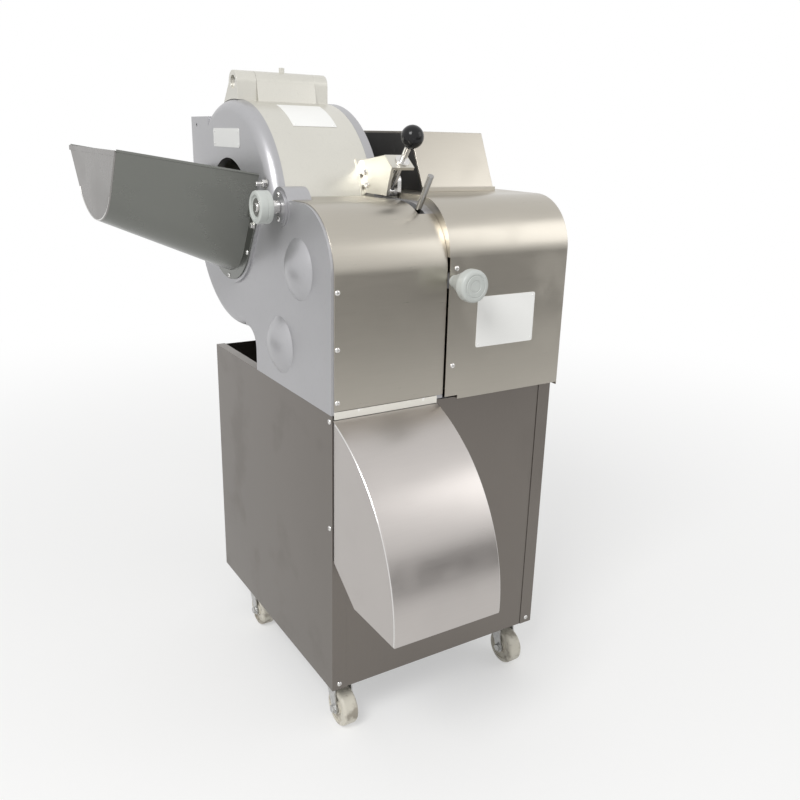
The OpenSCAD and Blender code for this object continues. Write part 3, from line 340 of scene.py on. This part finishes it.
ALONG_X = (0.03, 1.0, 1.0)
ALONG_Y = (1.0, 0.03, 1.0)
ALONG_Z = (1.0, 1.0, 0.03)
PANEL_GREY = (0.195, 0.177, 0.16)
FRAME_BLACK = (0.05, 0.05, 0.052)
panel_steel = brushed_steel("panel_steel", PANEL_GREY, ALONG_Z)
frame_paint = worn_paint("frame_paint", FRAME_BLACK, 0.5)
PANELS = ("cabinet_left_panel", "cabinet_right_panel", "cabinet_front_panel", "cabinet_back_panel")
for panel in PANELS:
    eased(panel, 0.6, panel_steel, "machine", "sheet")
dress(panel_steel, "rear_guard")
dress(frame_paint, "base_frame", "motor_plate")


# Casters
# Cream nylon wheels run in zinc-plated pressed forks, which swivel under plates that four hexagon bolts
# hold to the frame; the treads are scuffed and dusty.
def turned(profile, at, axis, steps=40):
    """A solid turned about an axis: the profile's pairs run along it and out from it, in millimetres."""
    bm = bmesh.new()
    side = axis.orthogonal().normalized()
    chain = [bm.verts.new(at + (axis * along + side * out) / 1000.0) for along, out in profile]
    joins = [bm.edges.new(pair) for pair in zip(chain, chain[1:])]
    bmesh.ops.spin(bm, geom=chain + joins, cent=at, axis=axis, angle=math.tau, steps=steps, use_merge=True)
    bmesh.ops.remove_doubles(bm, verts=bm.verts, dist=MERGE_WITHIN)
    bmesh.ops.recalc_face_normals(bm, faces=bm.faces)
    return bm


def gather(parts):
    """Several meshes in work as one."""
    whole = bmesh.new()
    carrier = bpy.data.meshes.new("carrier")
    for part in parts:
        part.to_mesh(carrier)
        part.free()
        whole.from_mesh(carrier)
    bpy.data.meshes.remove(carrier)
    return whole


WASHER_TALL, WASHER_SPREAD = 0.8, 1.25
CHAMFER_TALL, CHAMFER_SHARE = 0.8, 0.86


def hex_head(at, axis, radius, height):
    """A hexagon head with a washer face and a chamfered top."""
    spread = radius * WASHER_SPREAD
    washer = ((0.0, 0.0), (0.0, spread), (WASHER_TALL, spread), (WASHER_TALL, 0.0))
    head = (
        (WASHER_TALL, 0.0), (WASHER_TALL, radius), (height - CHAMFER_TALL, radius),
        (height, radius * CHAMFER_SHARE), (height, 0.0),
    )
    return gather((turned(washer, at, axis, 24), turned(head, at, axis, 6)))


X_AXIS = Vector((1.0, 0.0, 0.0))
Y_AXIS = Vector((0.0, 1.0, 0.0))
Z_AXIS = Vector((0.0, 0.0, 1.0))
NYLON = (0.60, 0.57, 0.49)
GRIME = (0.32, 0.29, 0.24)
ZINC_LOW = (0.46, 0.46, 0.45)
ZINC_HIGH = (0.64, 0.64, 0.63)
nylon, wire, feed = new_finish("nylon", NYLON, 0.0, 0.45)
dirt = soften(wire, cloud(wire, 38.0, 6.0), 0.50, 0.70)
feed("Base Color", between(wire, dirt, NYLON, GRIME))
feed("Roughness", 0.40 + 0.25 * dirt)
zinc, wire, feed = new_finish("zinc", ZINC_HIGH, 0.9, 0.38)
grains = wire.node("ShaderNodeTexVoronoi", {}, {"Vector": wire.node("ShaderNodeTexCoord", out=3), "Scale": 160.0})
feed("Base Color", between(wire, grains, ZINC_LOW, ZINC_HIGH))
feed("Roughness", 0.32 + 0.2 * grains)
SWIVELS = {"fl": (40.0, 53.0), "fr": (455.0, 53.0), "rl": (40.0, 462.0), "rr": (455.0, 462.0)}
TRAIL, AXLE_Z, FORK_FACE = 22.0, -67.5, 20.5
PLATE_BOLT_X, PLATE_BOLT_Y, PLATE_UNDER = 28.0, 22.0, -4.0
plate_bolts = []
for corner, (x, y) in SWIVELS.items():
    eased("caster_fork_" + corner, 0.8, zinc, "swivel_" + corner, "zinc")
    eased("caster_wheel_" + corner, 0.8, nylon, "wheel_" + corner, "nylon")
    nuts = [
        hex_head(spot(x + side * FORK_FACE, y - TRAIL, AXLE_Z), X_AXIS * side, radius=8.0, height=6.5)
        for side in (-1, 1)
    ]
    make_piece("axle_nuts_" + corner, gather(nuts), zinc, "swivel_" + corner, "zinc")
    for across in (-PLATE_BOLT_X, PLATE_BOLT_X):
        for along in (-PLATE_BOLT_Y, PLATE_BOLT_Y):
            bolt_at = spot(x + across, y + along, PLATE_UNDER)
            plate_bolts.append(hex_head(bolt_at, -Z_AXIS, radius=5.5, height=5.0))
make_piece("caster_bolts", gather(plate_bolts), zinc, "machine", "zinc")
eased("caster_plates", 0.8, zinc, "machine", "zinc")

# Motor and drive
# A grey painted motor turns the main shaft by three rubber belts; cast iron gears pass the turning on to the
# knife shafts. All of it sits in the cabinet and under the motor cover.
MOTOR_GREY = (0.30, 0.34, 0.38)
BELT_BLACK = (0.025, 0.025, 0.027)
TURNED_LOW = (0.62, 0.61, 0.60)
TURNED_HIGH = (0.76, 0.75, 0.73)
dress(worn_paint("motor_paint", MOTOR_GREY, 0.45), "motor_body")
dress(worn_paint("belt_rubber", BELT_BLACK, 0.75), "drive_belts")
dress(frame_paint, "main_pulley", "motor_pulley", "main_gear", "idler_gear", "disc_gear", "cross_gear")
bright_steel, wire, feed = new_finish("bright_steel", TURNED_HIGH, 1.0, 0.22)
lathe_lines = cloud(wire, 500.0, 2.0, ALONG_Y)
feed("Roughness", 0.16 + 0.14 * lathe_lines)
feed("Base Color", between(wire, cloud(wire, 20.0), TURNED_LOW, TURNED_HIGH))
dress(bright_steel, "bearings", "idler_axle", "main_shaft", "disc_shaft", "cross_shaft", "motor_shaft")
eased("cable_gland", 0.8, frame_paint, "machine", "gland")


# Castings of the cutting head
# The left plate, the right wall, the domed bearing caps and the shaft housing are cast aluminium under
# silver paint, bolted to the cabinet; the cast grain shows through the paint and the edges are rounded.
GRAIN_SCALE, PIT_SCALE, CAST_TONE_SCALE = 420.0, 130.0, 5.0


def cast_metal(name, colour, rough, metal):
    """Painted casting with a fine grain, a few shallow pits and broad cloudy tones."""
    material, wire, feed = new_finish(name, colour, metal, rough)
    grain = cloud(wire, GRAIN_SCALE, 2.0)
    pits = soften(wire, cloud(wire, PIT_SCALE, 3.0), 0.55, 0.75)
    tone = cloud(wire, CAST_TONE_SCALE, 4.0)
    dark = tuple(0.86 * part for part in colour)
    light = tuple(min(1.0, 1.08 * part) for part in colour)
    feed("Base Color", between(wire, 0.7 * tone + 0.3 * grain - 0.15 * pits, dark, light))
    feed("Roughness", rough - 0.06 + 0.14 * grain)
    feed("Normal", bumped(wire, grain - 0.6 * pits, 0.16, 0.0006))
    return material


PLATE_SILVER = (0.43, 0.428, 0.44)
plate_silver = cast_metal("plate_silver", PLATE_SILVER, 0.34, 0.6)
left_plate = round_edges(node_copy("left_side_plate"), 1.2)
make_piece("left_side_plate.eased", left_plate, plate_silver, "machine", "casting", "left_side_plate")
eased("right_side_wall", 1.5, plate_silver, "machine", "casting")
eased("bearing_housing", 1.5, plate_silver, "machine", "casting")
dress(plate_silver, "bearing_caps")

# Blank plates
# Thin white lacquered aluminium plates sit on the left plate, the door and the motor cover, each held by
# small round rivets; they carry no print.
PLATE_LOW = (0.76, 0.76, 0.74)
PLATE_HIGH = (0.83, 0.83, 0.81)
PLATE_THICK, PLATE_CORNER, RIVET_IN = 0.8, 4.0, 6.0
RIVET = ((0.0, 0.0), (0.0, 2.0), (0.6, 1.7), (1.0, 0.9), (1.1, 0.0))
white_lacquer, wire, feed = new_finish("white_lacquer", PLATE_HIGH, 0.0, 0.35)
feed("Base Color", between(wire, cloud(wire, 14.0, 5.0), PLATE_LOW, PLATE_HIGH))
feed("Roughness", 0.28 + 0.18 * cloud(wire, 60.0))


def blank_plate(low, high, normal):
    """A flat plate between two corners in millimetres, with rounded corners and rivets on its front."""
    bm = slab(low, high)
    thin = [edge for edge in bm.edges if abs((edge.verts[0].co - edge.verts[1].co).normalized().dot(normal)) > 0.9]
    bmesh.ops.bevel(
        bm, geom=thin, offset=PLATE_CORNER / 1000.0, offset_type="OFFSET", affect="EDGES", segments=4,
        profile=0.5, material=-1,
    )
    reach = [axis for axis in range(3) if abs(normal[axis]) < 0.5]
    rivets = []
    for side in (0, 1):
        for end in (0, 1):
            place = list(high if sum(normal) > 0 else low)
            for axis, far in zip(reach, (side, end)):
                place[axis] = high[axis] - RIVET_IN if far else low[axis] + RIVET_IN
            rivets.append(turned(RIVET, spot(*place), normal, 12))
    return gather([bm] + rivets)


SIDE_PLATE = ((-PLATE_THICK, 388.0, 992.0), (0.0, 532.0, 1028.0))
side_plate = blank_plate(*SIDE_PLATE, -X_AXIS)
make_piece("side_plate_blank", side_plate, white_lacquer, "machine", "sheet")

# Drum and door
# The drum's shell and its door are cast and turned aluminium; the door swings up on a pin through two
# lugs cast on the shell's crown and a leaf cast on the door, and closes on a steel ledge strip.
DOOR_SILVER = (0.64, 0.625, 0.57)
door_silver = cast_metal("door_silver", DOOR_SILVER, 0.34, 0.5)
eased("drum_shell", 1.2, door_silver, "machine", "bright")
eased("door", 1.2, door_silver, "drum_door", "bright")
dress(bright_steel, "hinge_pin")
DRUM_AT = (455.0, 857.0)
DRUM_R = 225.0
DOOR_PLATE_X = (81.0, 174.0)
DOOR_PLATE_ANGLES = (106.0, 128.0)
PLATE_LIFT, DOOR_RIVET_IN, DOOR_RIVET_TURN = 0.1, 5.0, 1.4
LEDGE_GREY = (0.50, 0.49, 0.46)


def on_drum(x, radius, angle):
    """A place on the drum: across, out from its axis and round from the back."""
    turn = math.radians(angle)
    return spot(x, DRUM_AT[0] + radius * math.cos(turn), DRUM_AT[1] + radius * math.sin(turn))


def off_drum(x, angle):
    """The direction straight out from the drum's axis."""
    return (on_drum(x, 1.0, angle) - on_drum(x, 0.0, angle)).normalized()


bm = bmesh.new()
start = [bm.verts.new(on_drum(x, DRUM_R + PLATE_LIFT, DOOR_PLATE_ANGLES[0])) for x in DOOR_PLATE_X]
edge = bm.edges.new(start)
sweep = math.radians(DOOR_PLATE_ANGLES[1] - DOOR_PLATE_ANGLES[0])
bmesh.ops.spin(
    bm, geom=start + [edge], cent=spot(0.0, *DRUM_AT), axis=X_AXIS, angle=sweep, steps=12, use_merge=False,
)
bmesh.ops.recalc_face_normals(bm, faces=bm.faces)
for face in bm.faces:
    if face.normal.dot(face.calc_center_median() - spot(DOOR_PLATE_X[0], *DRUM_AT)) < 0.0:
        face.normal_flip()
bmesh.ops.solidify(bm, geom=bm.faces[:], thickness=-PLATE_THICK / 1000.0)
door_rivets = []
for x in (DOOR_PLATE_X[0] + DOOR_RIVET_IN, DOOR_PLATE_X[1] - DOOR_RIVET_IN):
    for angle in (DOOR_PLATE_ANGLES[0] + DOOR_RIVET_TURN, DOOR_PLATE_ANGLES[1] - DOOR_RIVET_TURN):
        door_rivets.append(turned(RIVET, on_drum(x, DRUM_R + PLATE_THICK, angle), off_drum(x, angle), 12))
make_piece("door_plate_blank", gather([bm] + door_rivets), white_lacquer, "drum_door", "bright")
dress(brushed_steel("ledge_steel", LEDGE_GREY, ALONG_X), "ledge_strip")

# Door clamp
# A bright ground bracket, bolted to the door, holds a captive screw with a black ball; the screw's tip
# drops into a round nut on a steel post that is bolted to the right wall.
PALE = (0.74, 0.72, 0.66)
BRACKET_GREY = (0.66, 0.64, 0.58)
BALL = (0.012, 0.012, 0.013)
BALL_RUBBED = (0.03, 0.03, 0.03)
pale_paint = worn_paint("pale_paint", PALE, 0.42)
bracket_steel = brushed_steel("bracket_steel", BRACKET_GREY, ALONG_Y, 0.30)
eased("latch_bracket", 1.4, bracket_steel, "drum_door", "pale")
CHEEK_X, CHEEK_BOLTS = 193.5, ((229.0, 930.0), (238.0, 953.0))
PAD_X, PAD_THICK, PAD_BOLT_ANGLES = 206.0, 4.0, (152.5, 162.5)
bolts = [hex_head(spot(CHEEK_X, y, z), -X_AXIS, radius=5.0, height=4.5) for y, z in CHEEK_BOLTS]
for angle in PAD_BOLT_ANGLES:
    pad_face = on_drum(PAD_X, DRUM_R + PAD_THICK, angle)
    bolts.append(hex_head(pad_face, off_drum(PAD_X, angle), radius=4.2, height=4.0))
make_piece("bracket_bolts", gather(bolts), bright_steel, "drum_door", "bright")
eased("latch_post", 1.0, bright_steel, "machine", "bright")
eased("clamp_screw", 0.6, bright_steel, "clamp", "bright")
ball_black, wire, feed = new_finish("ball_black", BALL, 0.0, 0.12, Specular_IOR_Level=0.25)
feed("Roughness", 0.08 + 0.10 * cloud(wire, 70.0))
rubbed_spots = soften(wire, cloud(wire, 120.0, 4.0), 0.60, 0.75)
feed("Base Color", between(wire, rubbed_spots, BALL, BALL_RUBBED))
CLAMP_X = 223.5
NUT_AT = Vector((CLAMP_X, 193.0, 921.0))
ROD = Vector((0.0, -0.598, 0.801)).normalized()
BALL_ALONG, BALL_R = 124.0, 21.0
NECK_R, BALL_STEPS = 9.5, 26
neck_turn = math.degrees(math.acos(NECK_R / BALL_R))
turns = [math.radians(-neck_turn + (90.0 + neck_turn) * step / BALL_STEPS) for step in range(BALL_STEPS + 1)]
arcs = [(BALL_R * math.sin(turn), BALL_R * math.cos(turn)) for turn in turns]
ball_profile = [(-BALL_R, 0.0), (-BALL_R, NECK_R - 1.0), (1.0 - BALL_R, NECK_R)] + arcs
ball_at = spot(*(NUT_AT + ROD * BALL_ALONG))
make_piece("ball_knob_turned", turned(ball_profile, ball_at, ROD, 48), ball_black, "clamp", "ball", "ball_knob")

# Knives, gate and lever
# Slicing knife, disc blades, cross-cut knives, comb, paddle wheel and the gate that sets the slice thickness
# are ground or cast stainless steel on their shafts; the comb's lever is a plain steel rod in a slot.
LEVER_GREY = (0.36, 0.355, 0.345)
lever_steel = brushed_steel("lever_steel", LEVER_GREY, ALONG_Y, 0.24)
eased("comb_lever", 1.6, lever_steel, "comb", "bright")
dress(
    bright_steel, "slicing_knife", "thickness_gate", "impeller", "disc_blades", "cross_knives", "comb_plate",
)

# Hand knobs
# The gate's lock knob and the cover's front knob are turned from pale plastic round a steel stud,
# with a ring groove, a dished face and a rounded grip.
KNOB_LOW = (0.42, 0.44, 0.42)
KNOB_HIGH = (0.52, 0.54, 0.515)
knob_plastic, wire, feed = new_finish("knob_plastic", KNOB_HIGH, 0.0, 0.34)
feed("Base Color", between(wire, cloud(wire, 30.0, 4.0), KNOB_LOW, KNOB_HIGH))
feed("Roughness", 0.26 + 0.16 * cloud(wire, 90.0))
feed("Normal", bumped(wire, cloud(wire, 240.0), 0.08, 0.0004))
LOCK_KNOB = (
    (18.7, 0.0), (18.7, 27.0), (19.4, 28.2), (20.8, 29.0), (28.0, 29.0), (28.5, 28.3), (30.2, 28.3), (30.7, 29.0),
    (41.0, 29.0), (43.4, 28.2), (44.6, 26.4), (44.7, 22.2), (43.8, 21.2), (41.0, 20.8), (40.6, 19.0), (40.6, 0.0),
)
LOCK_COLLAR = ((0.0, 0.0), (0.0, 11.0), (0.8, 12.0), (17.0, 12.0), (17.6, 11.2), (18.7, 11.2), (18.7, 0.0))
GATE_AT = (198.0, 896.0)
COLLAR_FROM, STUD_FROM = -5.3, -45.9
lock_knob = turned(LOCK_KNOB, spot(COLLAR_FROM, *GATE_AT), -X_AXIS, 56)
make_piece("lock_knob_turned", lock_knob, knob_plastic, "gate", "knob", "lock_knob")
STUD_END = ((0.0, 0.0), (0.0, 15.6), (0.8, 16.0), (1.4, 15.6), (1.4, 7.6), (3.0, 7.6), (3.6, 6.8), (3.6, 0.0))
stud = gather((
    turned(LOCK_COLLAR, spot(COLLAR_FROM, *GATE_AT), -X_AXIS, 40),
    turned(STUD_END, spot(STUD_FROM, *GATE_AT), -X_AXIS, 40),
))
make_piece("lock_knob_stud", stud, bright_steel, "gate", "bright")
FRONT_KNOB = (
    (-19.0, 0.0), (-19.0, 6.0), (3.3, 6.0), (3.3, 10.0), (4.0, 11.0), (9.0, 11.0), (20.0, 15.5), (36.0, 22.0),
    (47.0, 27.5), (49.0, 28.6), (51.0, 29.0), (62.0, 29.0), (65.0, 28.2), (67.0, 26.4), (68.0, 23.5), (68.0, 21.0),
    (67.2, 20.2), (67.2, 18.8), (68.0, 18.0), (67.8, 11.4), (67.0, 10.6), (67.0, 9.4), (67.6, 8.6), (67.6, 0.0),
)
FRONT_KNOB_AT = (242.0, 0.0, 778.0)
front_knob = turned(FRONT_KNOB, spot(*FRONT_KNOB_AT), -Y_AXIS, 56)
make_piece("front_knob_turned", front_knob, knob_plastic, "cover_knob", "knob", "front_knob")

# Knife cover and pale strip
# A stainless sheet bends over the castings' front corner and screws down along its left edge;
# a narrow pale painted angle closes the gap between it and the chute.
COVER_GREY = (0.48, 0.45, 0.395)
cover_steel = brushed_steel("cover_steel", COVER_GREY, ALONG_X, 0.30)
eased("knife_cover", 0.5, cover_steel, "machine", "sheet")
eased("cover_flange", 0.4, pale_paint, "machine", "pale")

# Motor cover and hood
# The drive's cover is a folded and welded stainless box that stands on the cabinet by its inner lip;
# a hood of the same sheet, its front leaning back, stands over the main pulley on a low turned-out foot.
eased("motor_cover", 0.8, cover_steel, "machine", "sheet")
eased("hood", 0.8, cover_steel, "machine", "sheet")
HOOD_X, HOOD_Y, HOOD_Z = (285.0, 456.0), (170.0, 605.0), (920.0, 1031.0)
HOOD_LEAN = 52.0
FOOT_TALL, FOOT_OUT, FOOT_DEEP, FOOT_LAP = 9.0, 1.6, 6.0, 0.5
foot_low, foot_high = HOOD_Z[0], HOOD_Z[0] + FOOT_TALL
foot_front = HOOD_Y[0] - FOOT_OUT
foot = gather((
    slab((HOOD_X[0] - FOOT_OUT, foot_front, foot_low), (HOOD_X[1] + FOOT_OUT, HOOD_Y[0] + FOOT_DEEP, foot_high)),
    slab((HOOD_X[1] - FOOT_LAP, HOOD_Y[0], foot_low), (HOOD_X[1] + FOOT_OUT, HOOD_Y[1], foot_high)),
))
make_piece("hood_foot", round_edges(foot, 0.7), cover_steel, "machine", "sheet")
# The near-black sheet laid on the hood's left end is painted shade: it stands for the dark, shadowed inside of the
# hood at that end.
HOOD_SHADE_BLACK = (0.018, 0.017, 0.016)
PANEL_THICK, PANEL_RIM, FRONT_RIM, LEAN_SHARE = 1.0, 4.0, 6.0, 0.95
shade_panel = slab(
    (HOOD_X[0] - PANEL_THICK, HOOD_Y[0] + FRONT_RIM, HOOD_Z[0] + PANEL_THICK),
    (HOOD_X[0], HOOD_Y[1] - PANEL_RIM, HOOD_Z[1] - PANEL_RIM),
)
hood_middle = spot(HOOD_X[0], sum(HOOD_Y) / 2.0, sum(HOOD_Z) / 2.0)
leaning = [vert for vert in shade_panel.verts if vert.co.y < hood_middle.y and vert.co.z > hood_middle.z]
bmesh.ops.translate(shade_panel, verts=leaning, vec=(0.0, HOOD_LEAN * LEAN_SHARE / 1000.0, 0.0))
hood_shade_paint = worn_paint("hood_shade_paint", HOOD_SHADE_BLACK, 0.55)
make_piece("hood_shade_panel", round_edges(shade_panel, 0.4), hood_shade_paint, "machine", "dark_iron")
COVER_FACE = -3.0
COVER_PLATE = ((297.0, COVER_FACE - PLATE_THICK, 650.0), (433.0, COVER_FACE, 745.0))
make_piece("cover_plate_blank", blank_plate(*COVER_PLATE, -Y_AXIS), white_lacquer, "machine", "sheet")

# Feed trough
# Round-floored stainless sheet, welded to a flange that is bolted to the left plate, and closed at its
# outer end by a plate with a folded top edge; the long edges are hemmed round a wire.
# The trough's steel is a darker grey than the other stainless sheet: painted shade, standing for the dark floor
# that its sides reflect.
TROUGH_SHADED_GREY = (0.20, 0.205, 0.19)
END_GREY = (0.29, 0.28, 0.27)
FLOOR_R, TOP_RISE = 104.0, 89.0
FLOOR_TILT, EDGE_SLOPE = math.radians(23.0), math.tan(math.radians(8.9))
WALL_LEAN = math.radians(32.0)
END_X, END_NEAR, FAR_END_X = -250.0, 320.0, -272.6
END_SKEW = math.radians(4.9)
END_THICK, END_SET_IN = 4.0, 1.4
HEM_R, HEM_FROM = 2.4, -6.0
FOLD_TALL, FOLD_THICK = 9.0, 3.8
trough_shaded_steel = brushed_steel("trough_shaded_steel", TROUGH_SHADED_GREY, ALONG_X, 0.26)
end_steel = brushed_steel("end_steel", END_GREY, ALONG_Z, 0.28)


def trough_half(x, z):
    """Half the trough's width at a place along it and a height."""
    above = x * math.sin(FLOOR_TILT) + (z - DRUM_AT[1]) * math.cos(FLOOR_TILT)
    return FLOOR_R * math.cos(WALL_LEAN) + (above + FLOOR_R * math.sin(WALL_LEAN)) * math.tan(WALL_LEAN)


def trough_rim(x, side):
    """A place on the trough's top edge, on its near side (-1) or far side (1)."""
    z = DRUM_AT[1] + TOP_RISE - x * EDGE_SLOPE
    return spot(x, DRUM_AT[0] + side * trough_half(x, z), z)


def end_x(y):
    """How far along the trough its end plate begins."""
    return END_X - (y - END_NEAR) * math.tan(END_SKEW)


def bead(path, radius, sides=8):
    """A round bead along a path of places, its radius in millimetres."""
    bm = bmesh.new()
    rings = []
    for step, place in enumerate(path):
        run = path[min(step + 1, len(path) - 1)] - path[max(step - 1, 0)]
        turn = run.to_track_quat("Z", "Y").to_matrix().to_4x4()
        ring = bmesh.ops.create_circle(
            bm, cap_ends=False, radius=radius / 1000.0, segments=sides, matrix=Matrix.Translation(place) @ turn,
        )
        rings.append(list({edge for vert in ring["verts"] for edge in vert.link_edges}))
    for near, far in zip(rings, rings[1:]):
        bmesh.ops.bridge_loops(bm, edges=near + far)
    for end in (rings[0], rings[-1]):
        bmesh.ops.edgeloop_fill(bm, edges=end)
    bmesh.ops.recalc_face_normals(bm, faces=bm.faces)
    return bm


eased("feed_trough", 0.5, trough_shaded_steel, "machine", "sheet")
hems = gather((
    bead([trough_rim(HEM_FROM, -1), trough_rim(END_X, -1)], HEM_R, 12),
    bead([trough_rim(HEM_FROM, 1), trough_rim(FAR_END_X, 1)], HEM_R, 12),
))
make_piece("trough_hems", hems, trough_shaded_steel, "machine", "sheet")
outward = Vector((-math.cos(END_SKEW), -math.sin(END_SKEW), 0.0))
end_plate = node_copy("trough_mouth")
corner = trough_rim(END_X, -1)
outer = [vert for vert in end_plate.verts if (vert.co - corner).dot(outward) > (END_THICK - 0.5) / 1000.0]
bmesh.ops.translate(end_plate, verts=outer, vec=outward * (-END_SET_IN / 1000.0))
make_piece("trough_mouth.eased", round_edges(end_plate, 0.4), end_steel, "machine", "sheet", "trough_mouth")
fold_line = [trough_rim(END_X, -1), trough_rim(FAR_END_X, 1)]
fold_run = (fold_line[1] - fold_line[0]).normalized()
fold_up = outward.cross(fold_run).normalized()
fold_up = fold_up if fold_up.z > 0.0 else -fold_up
fold = bmesh.new()
bmesh.ops.create_cube(fold, size=1.0)
fold_size = Vector(((fold_line[1] - fold_line[0]).length, FOLD_THICK / 1000.0, FOLD_TALL / 1000.0))
bmesh.ops.scale(fold, vec=fold_size, verts=fold.verts)
fold_axes = Matrix((fold_run, fold_up.cross(fold_run), fold_up)).transposed().to_4x4()
fold_at = (fold_line[0] + fold_line[1]) / 2.0 + outward * (END_THICK / 2000.0) - fold_up * (FOLD_TALL / 2000.0)
bmesh.ops.transform(fold, matrix=Matrix.Translation(fold_at) @ fold_axes, verts=fold.verts)
make_piece("trough_end_fold", round_edges(fold, 0.9), end_steel, "machine", "sheet")
WELD_R, WELD_STEPS = 1.2, 24
WELD_FROM, WELD_SWEEP = -148.0, 116.0
WELD_REACH = FLOOR_R - 2.0
weld = []
for step in range(WELD_STEPS + 1):
    turn = math.radians(WELD_FROM + WELD_SWEEP * step / WELD_STEPS)
    y = DRUM_AT[0] + WELD_REACH * math.cos(turn)
    x = end_x(y)
    z = DRUM_AT[1] + (WELD_REACH * math.sin(turn) - x * math.sin(FLOOR_TILT)) / math.cos(FLOOR_TILT)
    weld.append(spot(x, y, z) + outward * ((END_THICK - END_SET_IN) / 1000.0))
make_piece("trough_end_weld", bead(weld, WELD_R), bright_steel, "machine", "bright")
FLANGE_FACE, BOLT_OUT, BOLT_HEIGHTS = -7.0, 141.0, (852.0, 874.0)
flange_bolts = [
    hex_head(spot(FLANGE_FACE, DRUM_AT[0] + side * BOLT_OUT, z), -X_AXIS, radius=6.0, height=6.0)
    for side in (-1, 1) for z in BOLT_HEIGHTS
]
STUD = ((0.0, 0.0), (0.0, 4.0), (19.0, 4.0), (20.0, 3.2), (20.0, 0.0))
STUD_OUT, STUD_Z = 191.0, 932.0
for side in (-1, 1):
    stud_at = spot(0.0, DRUM_AT[0] + side * STUD_OUT, STUD_Z)
    flange_bolts.append(hex_head(stud_at, -X_AXIS, radius=7.5, height=8.0))
    flange_bolts.append(turned(STUD, stud_at, -X_AXIS, 20))
make_piece("flange_bolts", gather(flange_bolts), bright_steel, "machine", "bright")

# Discharge chute
# One sheet rolled to the round front and two flat sides, welded along the curve and ground bright;
# it hooks under the knife cover and is screwed to the left panel.
CHUTE_GREY = (0.52, 0.49, 0.47)
CHUTE_X = (2.0, 218.0)
CHUTE_AT, CHUTE_R = (117.0, 240.0), 333.0
SEAM_R, SEAM_IN, SEAM_STEPS = 1.3, 1.4, 40
SEAM_FROM, SEAM_SWEEP = 112.0, 70.0
chute_steel = brushed_steel("chute_steel", CHUTE_GREY, ALONG_X, 0.30)
eased("discharge_chute", 0.6, chute_steel, "machine", "sheet")
turns = [math.radians(SEAM_FROM + SEAM_SWEEP * step / SEAM_STEPS) for step in range(SEAM_STEPS + 1)]
reach = CHUTE_R - SEAM_IN
seams = []
for x in CHUTE_X:
    curve = [spot(x, CHUTE_AT[0] + reach * math.cos(turn), CHUTE_AT[1] + reach * math.sin(turn)) for turn in turns]
    seams.append(bead(curve, SEAM_R, 6))
make_piece("chute_seams", gather(seams), bright_steel, "machine", "bright")

# Cover screws
# Button-head screws of stainless steel with a round socket hold the covers, the panels, the trough's flange,
# the gate's boss and the chute, each in a tapped hole.
BUTTON = (
    (0.0, 0.0), (0.0, 5.0), (0.5, 5.0), (1.4, 4.5), (2.1, 3.5), (2.5, 2.2), (2.5, 1.7), (1.0, 1.7), (1.0, 0.0),
)
KNIFE_COVER_SCREWS = [(11.0, 1.5, z) for z in (582.0, 676.0, 773.0)]
MOTOR_COVER_SCREWS = [(247.0, COVER_FACE, z) for z in (621.0, 800.0)]
FRONT_PANEL_SCREWS = [(x, 0.0, 12.5) for x in (15.0, 480.0)]
CHUTE_SCREWS = [(0.0, 10.0, z) for z in (344.0, 548.0)]
BOSS_SCREWS = [(-5.0, GATE_AT[0], GATE_AT[1] + side) for side in (-21.0, 21.0)]
LEDGE_SCREWS = [(x, 222.0, 901.5) for x in (70.0, 150.0, 190.0)]
FLANGE_SCREW_R, FLANGE_SCREW_ANGLES = 121.0, (-150.0, -90.0, -30.0)
heads = [(spot(*place), -Y_AXIS) for place in KNIFE_COVER_SCREWS + MOTOR_COVER_SCREWS + FRONT_PANEL_SCREWS]
heads += [(spot(*place), -X_AXIS) for place in CHUTE_SCREWS]
heads += [(on_drum(FLANGE_FACE, FLANGE_SCREW_R, angle), -X_AXIS) for angle in FLANGE_SCREW_ANGLES]
heads += [(spot(*place), -X_AXIS) for place in BOSS_SCREWS]
heads += [(spot(*place), Z_AXIS) for place in LEDGE_SCREWS]
screws = gather([turned(BUTTON, at, axis, 20) for at, axis in heads])
make_piece("cover_screws", screws, bright_steel, "machine", "bright", "panel_screws")
